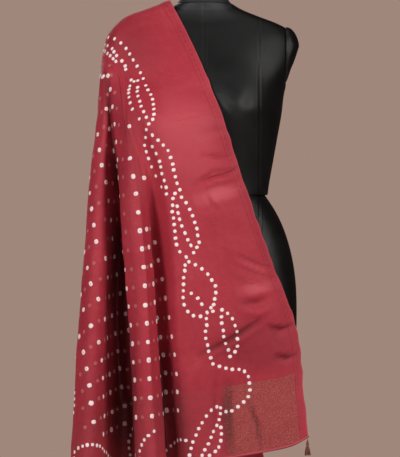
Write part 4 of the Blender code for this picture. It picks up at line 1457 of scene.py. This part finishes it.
def fine_creases(finish, where):
    """Depth of the sharp creases at both ends of the cloth, below zero on their ridges; it drives their
    relief, their painted shade and their painted highlight.
    """
    u, v, _ = finish.split(where)
    v = finish.from_ends(v, LENGTH)
    before, after = CREASE_START
    total = None
    for a, b, c, first, last, width, depth in FINE_CREASES:
        bend = finish.times(u, finish.plus(finish.times(u, c), b))
        line = finish.ramp(finish.apart(v, finish.plus(bend, a)), width, 0.0)
        line = finish.times(line, finish.ramp(u, first - before, first + after))
        line = finish.times(line, finish.ramp(u, last, last - (last - first) * CREASE_FADE))
        line = finish.times(line, depth)
        total = line if total is None else finish.plus(total, line)
    return total


def shaded(finish, colour, depth, dark, lit):
    """The colour with painted shade where the depth is above zero, and painted light where it is below.
    """
    colour = finish.mix(finish.ramp(depth, 0.0, 1.0, 0.0, dark), colour, MAROON_SHADE)
    return finish.mix(finish.ramp(depth, 0.0, -1.0, 0.0, lit), colour, MAROON_LIT)


def maroon(finish, where, deep=0.0):
    """Dyed cotton: uneven uptake of the dye, faint streaks along the threads, a fine weave, and painted
    shade and light of the folds and of the fine creases.
    """
    threads, slubs = weave(finish, where)
    cloud = finish.noise(where, 9.0, 3.0, 0.55)
    mottle = finish.noise(where, 70.0, 3.0, 0.6)
    tone = finish.plus(finish.swing(cloud, 0.5, 0.9), finish.swing(mottle, 0.5, 0.55))
    tone = finish.plus(tone, finish.swing(slubs, 1.0, 0.7))
    tone = finish.plus(tone, 0.5 - deep, clamp=True)
    colour = finish.mix(finish.ramp(tone, 0.0, 0.5), MAROON_DEEP, MAROON)
    colour = finish.mix(finish.ramp(tone, 0.5, 1.0), colour, MAROON_PALE)
    # painted shade deep in the folds and painted light where the cloth stands proud
    colour = shaded(finish, colour, finish.shade(), 0.93, 0.9)
    normal = finish.bump(finish.plus(finish.times(threads, 0.5), slubs), 0.00018, 0.5)
    normal = finish.bump(finish.noise(where, 38.0, 2.0, 0.5), 0.0011, 0.45, normal)
    # loose wrinkles that lie across the cloth
    across = finish.stretched(where, (14, 46, 1), 0.45)
    wrinkle = finish.apart(finish.noise(across, 1.0, 2.0, 0.5, 0.6), 0.5)
    normal = finish.bump(finish.ramp(wrinkle, 0.10, 0.0), 0.0014, -0.4, normal)
    creases = fine_creases(finish, where)
    # painted shade in the fine creases and a painted highlight on their ridges
    colour = shaded(finish, colour, creases, 0.5, 0.5)
    return colour, finish.bump(creases, CREASE_PRESS, -0.8, normal)


def cotton_finish():
    finish = Finish("bandhani_cotton", 0.58, specular=0.25, sheen=0.05, sheen_tint=(1.0, 0.45, 0.5))
    return finish.done(*maroon(finish, finish.place("flat")))


def hem_finish():
    """The turned hem: the same cloth twice, with a line of sunk stitches along its inner side, painted
    shade in the stitches and along the fold line, and a painted highlight along the selvage.
    """
    finish = Finish("stitched_hem", 0.60, specular=0.30, sheen=0.06, sheen_tint=(1.0, 0.45, 0.5))
    where = finish.place("flat")
    colour, normal = maroon(finish, where)
    u, v, _ = finish.split(where)
    from_edge = finish.from_ends(u, WIDTH)
    beat = finish.math("FRACT", finish.math("DIVIDE", v, STITCH))
    dash = finish.times(finish.ramp(beat, 0.22, 0.32), finish.ramp(beat, 0.78, 0.68))
    line = finish.apart(from_edge, SIDE_HEM * 0.62)
    tick = finish.times(dash, finish.ramp(line, 0.0016, 0.0007))
    rim = finish.ramp(from_edge, 0.0036, 0.0004)
    fold = finish.ramp(finish.apart(from_edge, SIDE_HEM), 0.0014, 0.0)
    worn = finish.ramp(finish.noise(where, 60.0, 1.0), 0.35, 0.65, 0.1, 0.5)
    # painted shade in the sunk stitches, its strength uneven at random
    colour = finish.mix(finish.times(tick, worn), colour, STITCH_SHADE)
    # painted shade along the fold line where the turned hem ends
    colour = finish.mix(finish.times(fold, 0.45), colour, MAROON_DEEP)
    # painted highlight along the selvage edge
    colour = finish.mix(finish.times(rim, 0.35), colour, SELVAGE_LIT)
    return finish.done(colour, finish.bump(tick, 0.0012, -0.8, normal))


def roll_finish():
    """The rolled hem: a painted highlight along its crown, and a whipping thread round it with painted
    shade along its turns.
    """
    finish = Finish("rolled_hem_cotton", 0.6, specular=0.35, sheen=0.10, sheen_tint=(1.0, 0.5, 0.55))
    where = finish.place("flat")
    colour, normal = maroon(finish, where, 0.1)
    _, round_it, _ = finish.split(where)
    thread = finish.wave(where, 0.5 / 0.0035, "X", 1.5)
    # painted highlight along the crown of the roll
    crown_highlight = finish.ramp(finish.apart(round_it, ROLL_CHART / 4), 0.0024, 0.0004)
    colour = finish.mix(finish.times(crown_highlight, 0.6), colour, ROLL_LIT)
    # painted shade along the turns of the whipping thread
    colour = finish.mix(finish.times(thread, 0.2), colour, ROLL_SHADE)
    return finish.done(colour, finish.bump(thread, 0.0005, 0.5, normal))


def zari_finish():
    """Copper thread brocaded in small broken curls on the maroon, thinner away from the selvage, with
    painted shade of the folds over it.
    """
    finish = Finish("zari_tissue", 0.5, specular=0.3, sheen=0.05, sheen_tint=(1.0, 0.6, 0.5))
    where = finish.place("flat")
    colour, normal = maroon(finish, where)
    u, _, _ = finish.split(where)
    curls = finish.noise(where, 170.0, 2.0, 0.6, 2.6)
    fine = finish.noise(where, 700.0, 1.0, 0.5)
    curl = finish.ramp(finish.apart(curls, 0.5), 0.06, 0.012)
    curl = finish.times(curl, finish.ramp(fine, 0.34, 0.60, 0.25, 1.0))
    from_edge = finish.from_ends(u, WIDTH)
    worked = finish.times(finish.ramp(from_edge, BAND_INSET - 0.003, BAND_INSET + 0.001),
                          finish.ramp(from_edge, *BAND_END, 1.0, 0.06))
    share = finish.times(curl, worked)
    colour = finish.mix(finish.times(worked, 0.40), colour, ZARI_GROUND)
    colour = finish.mix(share, colour, COPPER)
    # painted shade of the folds over the worked band
    dark = finish.times(finish.ramp(finish.shade(), 0.0, 1.0, 0.0, 0.9), worked)
    finish.set("Metallic", finish.times(share, 0.25))
    finish.set("Roughness", finish.ramp(share, 0.0, 1.0, 0.58, 0.42))
    return finish.done(finish.mix(dark, colour, MAROON_SHADE), finish.bump(curl, 0.0004, 0.6, normal))


def dot_finish(name, pale, edge, speck, specks):
    """A tied dot: pale undyed cloth with a soft dyed edge, in some a speck of dye at the tie, and
    painted shade where it lies deep in a fold.
    """
    finish = Finish(name, 0.8, sheen=0.2)
    x, y, _ = finish.split(finish.place("dot"))
    across = finish.minus(finish.math("FRACT", x), 0.5)
    along = finish.minus(y, 0.5)
    away = finish.math("SQRT", finish.plus(finish.times(across, across), finish.times(along, along)))
    crinkle = finish.noise(finish.place(), 900.0, 2.0)
    away = finish.plus(away, finish.swing(crinkle, 0.5, 0.10))
    colour = finish.mix(finish.ramp(away, 0.34, 0.50), pale, edge)
    tied = finish.math("LESS_THAN", finish.math("FLOOR", x), specks)
    tied = finish.times(tied, finish.ramp(away, 0.15, 0.06))
    colour = finish.mix(tied, colour, speck)
    # painted shade on the dots that lie deep in the folds
    colour = finish.mix(finish.ramp(finish.shade(), 0.35, 1.0, 0.0, 0.72), colour, DOT_IN_SHADE)
    return finish.done(colour, finish.bump(crinkle, 0.0005, 0.5))


def thread_finish():
    finish = Finish("tassel_thread", 0.75, sheen=0.5, sheen_tint=(1.0, 0.7, 0.6))
    streak = finish.noise(finish.stretched(finish.place(), (1800, 1800, 120)), 1.0)
    return finish.done(finish.mix(streak, THREAD_DARK, THREAD_LIGHT), finish.bump(streak, 0.0003, 0.5))


def dimmed(colour, share):
    """The colour at a share of its strength."""
    return tuple(c * share for c in colour)


def jersey_finish(name, dark, light, seams, neck=None):
    """Fine black jersey pulled over the form, with raised seams at the given distances from the middle,
    through front and back alike, painted shade in their grooves and a painted highlight on their welts,
    and above them the neck cover, with painted shade in its seam, if its colour is given."""
    finish = Finish(name, 0.42, specular=0.40)
    where = finish.place()
    x, y, z = finish.split(where)
    cloud = finish.noise(where, 14.0, 3.0, 0.55)
    dust = finish.noise(where, 420.0, 2.0, 0.6)
    tone = finish.plus(finish.times(cloud, 0.6), finish.times(dust, 0.4))
    colour = finish.mix(finish.ramp(tone, 0.3, 0.72), dark, light)
    normal = finish.bump(finish.wave(where, 700.0, "Z", 0.8), 0.00015, 0.35)
    for seam in seams:
        away = finish.apart(finish.math("ABSOLUTE", x), seam)
        groove = finish.ramp(away, SEAM_HALF, 0.0006)
        welt = finish.ramp(finish.apart(away, WELT), SEAM_HALF, 0.0)
        # painted shade in the groove of the seam, and a painted highlight on the welts beside it
        colour = finish.mix(finish.times(groove, 0.45), colour, dimmed(dark, 0.3))
        colour = finish.mix(finish.times(welt, 0.25), colour, dimmed(light, 2.0))
        normal = finish.bump(finish.minus(welt, groove), 0.0006, 0.3, normal)
    if neck:
        # the neck cover comes down in front to a seam of its own
        rise = finish.minus(z, finish.plus(finish.times(y, NECK_SLOPE), NECK_SEAM))
        colour = finish.mix(finish.ramp(rise, 0.0, 0.0008), colour, neck)
        seam = finish.ramp(finish.math("ABSOLUTE", rise), 0.0022, 0.0004)
        # painted shade in the groove of the neck seam
        colour = finish.mix(finish.times(seam, 0.85), colour, dimmed(dark, 0.2))
        normal = finish.bump(seam, 0.002, -0.8, normal)
    low = 0.34 if neck else 0.60
    finish.set("Roughness", finish.ramp(cloud, 0.2, 0.8, low, low + 0.14))
    return finish.done(colour, normal)


def metal_finish(name, colour, roughness, metallic, coat=0.0):
    """Painted or bare metal, brushed upwards and a little worn."""
    finish = Finish(name, roughness, metallic)
    finish.set("Coat Weight", coat)
    where = finish.place()
    brushed = finish.noise(finish.stretched(where, (900, 900, 24)), 1.0, 3.0)
    smudge = finish.noise(where, 22.0, 3.0)
    worn = tuple(min(c * 1.12 + 0.004, 1.0) for c in colour)
    finish.set("Roughness", finish.ramp(smudge, 0.2, 0.8, roughness * 0.92, roughness * 1.12))
    return finish.done(finish.mix(finish.ramp(smudge, 0.45, 0.85), colour, worn),
                       finish.bump(brushed, 0.00004, 0.25))


def floor_finish():
    finish = Finish("studio_floor", 0.8)
    finish.set("Base Color", finish.mix(finish.noise(finish.place(), 2.0, 3.0), *FLOOR_COLOURS))
    return finish.made


# ---- stage

def build_stage():
    """Pale floor, soft studio lights and the camera, level with the waist of the form."""
    angles = [2 * math.pi * k / FLOOR_SIDES for k in range(FLOOR_SIDES)]
    rim = [(FLOOR_RADIUS * math.cos(a), FLOOR_RADIUS * math.sin(a), 0.0) for a in angles]
    floor = mesh_object("floor", rim, [tuple(range(FLOOR_SIDES))], floor_finish(), None)

    world = bpy.data.worlds.new("studio")
    world.use_nodes = True
    tree = world.node_tree
    seen = tree.nodes["Background"]
    seen.inputs["Color"].default_value = (*BACKDROP, 1.0)
    lit = tree.nodes.new("ShaderNodeBackground")
    lit.inputs["Color"].default_value = (*dimmed(BACKDROP, AMBIENT), 1.0)
    path = tree.nodes.new("ShaderNodeLightPath")
    mixed = tree.nodes.new("ShaderNodeMixShader")
    tree.links.new(path.outputs["Is Camera Ray"], mixed.inputs[0])
    tree.links.new(lit.outputs[0], mixed.inputs[1])
    tree.links.new(seen.outputs[0], mixed.inputs[2])
    tree.links.new(mixed.outputs[0], tree.nodes["World Output"].inputs["Surface"])
    bpy.context.scene.world = world
    bpy.context.scene.view_settings.view_transform = "Standard"

    for name, place, power, size, colour in LIGHTS:
        data = bpy.data.lights.new(name, "AREA")
        data.energy = power
        data.size = size
        data.color = colour
        lamp = add(name, data)
        lamp.location = place
        aim = Vector(LIGHTS_AIM) - Vector(place)
        lamp.rotation_euler = aim.to_track_quat("-Z", "Y").to_euler()

    data = bpy.data.cameras.new("camera")
    data.sensor_width = SENSOR
    data.lens = SENSOR * CAMERA_AWAY / (IMAGE_HEIGHT * PIXEL)
    data.clip_end = 60.0
    camera = add("camera", data)
    camera.location = (CAMERA_X, -CAMERA_AWAY, CAMERA_HEIGHT)
    camera.rotation_euler = (math.pi / 2, 0.0, 0.0)
    bpy.context.scene.camera = camera


# ---- putting it together

def claim(piece, slot, *nodes):
    """Attaches a piece to the body and hides the solids that it replaces; the slot is not used."""
    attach(piece, BODY)
    if nodes:
        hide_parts(*nodes)
    return piece


def build_end(cloth, end, columns, zari, rolled, thread):
    """The woven band, the rolled hem and the tassels at one end of the cloth."""
    band = (slice(BODY_ROWS, None), columns)
    grids = (cloth.skirt[band], cloth.skirt_normals[band], cloth.skirt_flat[band])
    pieces = [claim(shell(end + "_zari_band", [grids], CLOTH, zari), "zari", end + "_end_band")]
    roll, line = hem_roll(end + "_hem_roll", cloth, columns, rolled)
    pieces.append(claim(roll, "cloth", end + "_rolled_hem"))
    shares = arc_fractions(line)
    for number in range(TASSELS):
        share = TASSEL_INSET + (1 - 2 * TASSEL_INSET) * number / (TASSELS - 1)
        at = through(shares, line, [share])[0] - (0, 0, ROLL_HOLD)
        piece = tassel(f"{end}_thread_tassel_{number + 1}", at, 40 * number + len(end), thread)
        pieces.append(claim(piece, "tassel", f"{end}_tassel_{number + 1}"))
    return pieces


def build_cloth():
    """The stole: one shell for the plain cloth, with its ends, side hems and dots laid on it."""
    cloth = Cloth()
    cotton, zari, thread = cotton_finish(), zari_finish(), thread_finish()
    rolled, stitched = roll_finish(), hem_finish()
    skirt, normals, flat = cloth.skirt, cloth.skirt_normals, cloth.skirt_flat
    corner_front = column_of(cloth.places, "side_fold_3", -0.5)
    corner_back = column_of(cloth.places, "back_fold_6", 0.5)
    body = slice(0, BODY_ROWS + 1)
    middle = (slice(BODY_ROWS, None), slice(corner_front, corner_back + 1))
    over = (cloth.shoulder[::-1], cloth.over_normals[::-1], cloth.over_flat[::-1])
    patches = [over, (skirt[body], normals[body], flat[body]),
               (skirt[middle], normals[middle], flat[middle])]
    stole = claim(shell("stole", patches, CLOTH, cotton), "cloth", "shoulder_stretch", "front_panel",
                  "front_folds", "side_front_folds", "side_cascade", "back_folds", "back_panel")
    extras = build_end(cloth, "front", slice(0, corner_front + 1), zari, rolled, thread)
    extras += build_end(cloth, "back", slice(corner_back, skirt.shape[1]), zari, rolled, thread)
    steps = np.linspace(LENGTH - HEM_SHORT, HEM_SHORT, HEM_STEPS)
    for name, start, stop in (("inner_side_hem", -HEM_OVERLAP, SIDE_HEM),
                              ("outer_side_hem", WIDTH - SIDE_HEM, WIDTH + HEM_OVERLAP)):
        across = np.clip(np.linspace(start, stop, HEM_ROW), 0, WIDTH)
        extras.append(claim(ribbon(name, cloth, across, steps, stitched), "cloth"))
    chain, pale, dyed = dot_finish(*CHAIN_DOT), dot_finish(*PALE_DOT), dot_finish(*DYED_DOT)
    # name, kinds of dot, size, finish, side of the cloth, rise
    for name, kinds, size, finish, side, rise in (
            ("chain_dots", ("chain",), DOT_SIZE, chain, 1, 0.0005),
            ("field_dots", ("field",), FIELD_DOT, pale, 1, 0.0007),
            ("faint_dots", ("faint",), FAINT_DOT, dyed, 1, 0.0001),
            ("reverse_dots", ("chain", "field"), DOT_SIZE, dyed, -1, 0.0001)):
        extras.append(claim(build_dots(cloth, name, kinds, size, finish, side, rise), "cloth"))


def build_form():
    """The dress form in its jersey, and finishes for the solids of its stand."""
    jersey = jersey_finish("form_jersey", JERSEY_DARK, JERSEY_LIGHT, JERSEY_SEAMS, NECK_DARK)
    plain = jersey_finish("form_neck_cover", NECK_DARK, NECK_LIGHT, ())
    enamel = metal_finish("stand_enamel", ENAMEL, 0.46, 0.0, 0.1)
    steel = metal_finish("stand_steel", STEEL, 0.28, 1.0)
    hips = HIP_SECTIONS + WAIST_SECTIONS
    claim(form_body("dress_form_bodice", BODICE_SECTIONS, jersey, bust=True), "jersey", "form_bodice")
    claim(form_body("dress_form_hips", hips, jersey), "jersey", "form_hips")
    claim(form_body("dress_form_neck", NECK_SECTIONS, plain, edge=0.0008), "neck", "form_neck")
    claim(shoulder_cap("dress_form_cap_left", 1, jersey), "jersey", "form_cap_left")
    claim(shoulder_cap("dress_form_cap_right", -1, jersey), "jersey", "form_cap_right")
    for name, finish in (("stand_pole", steel), ("stand_socket", enamel), ("stand_collar", enamel),
                         ("stand_base", enamel)):
        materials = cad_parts[name].data.materials
        materials.clear()
        materials.append(finish)


def main():
    """Builds everything in order."""
    build_stage()
    build_form()
    build_cloth()


main()
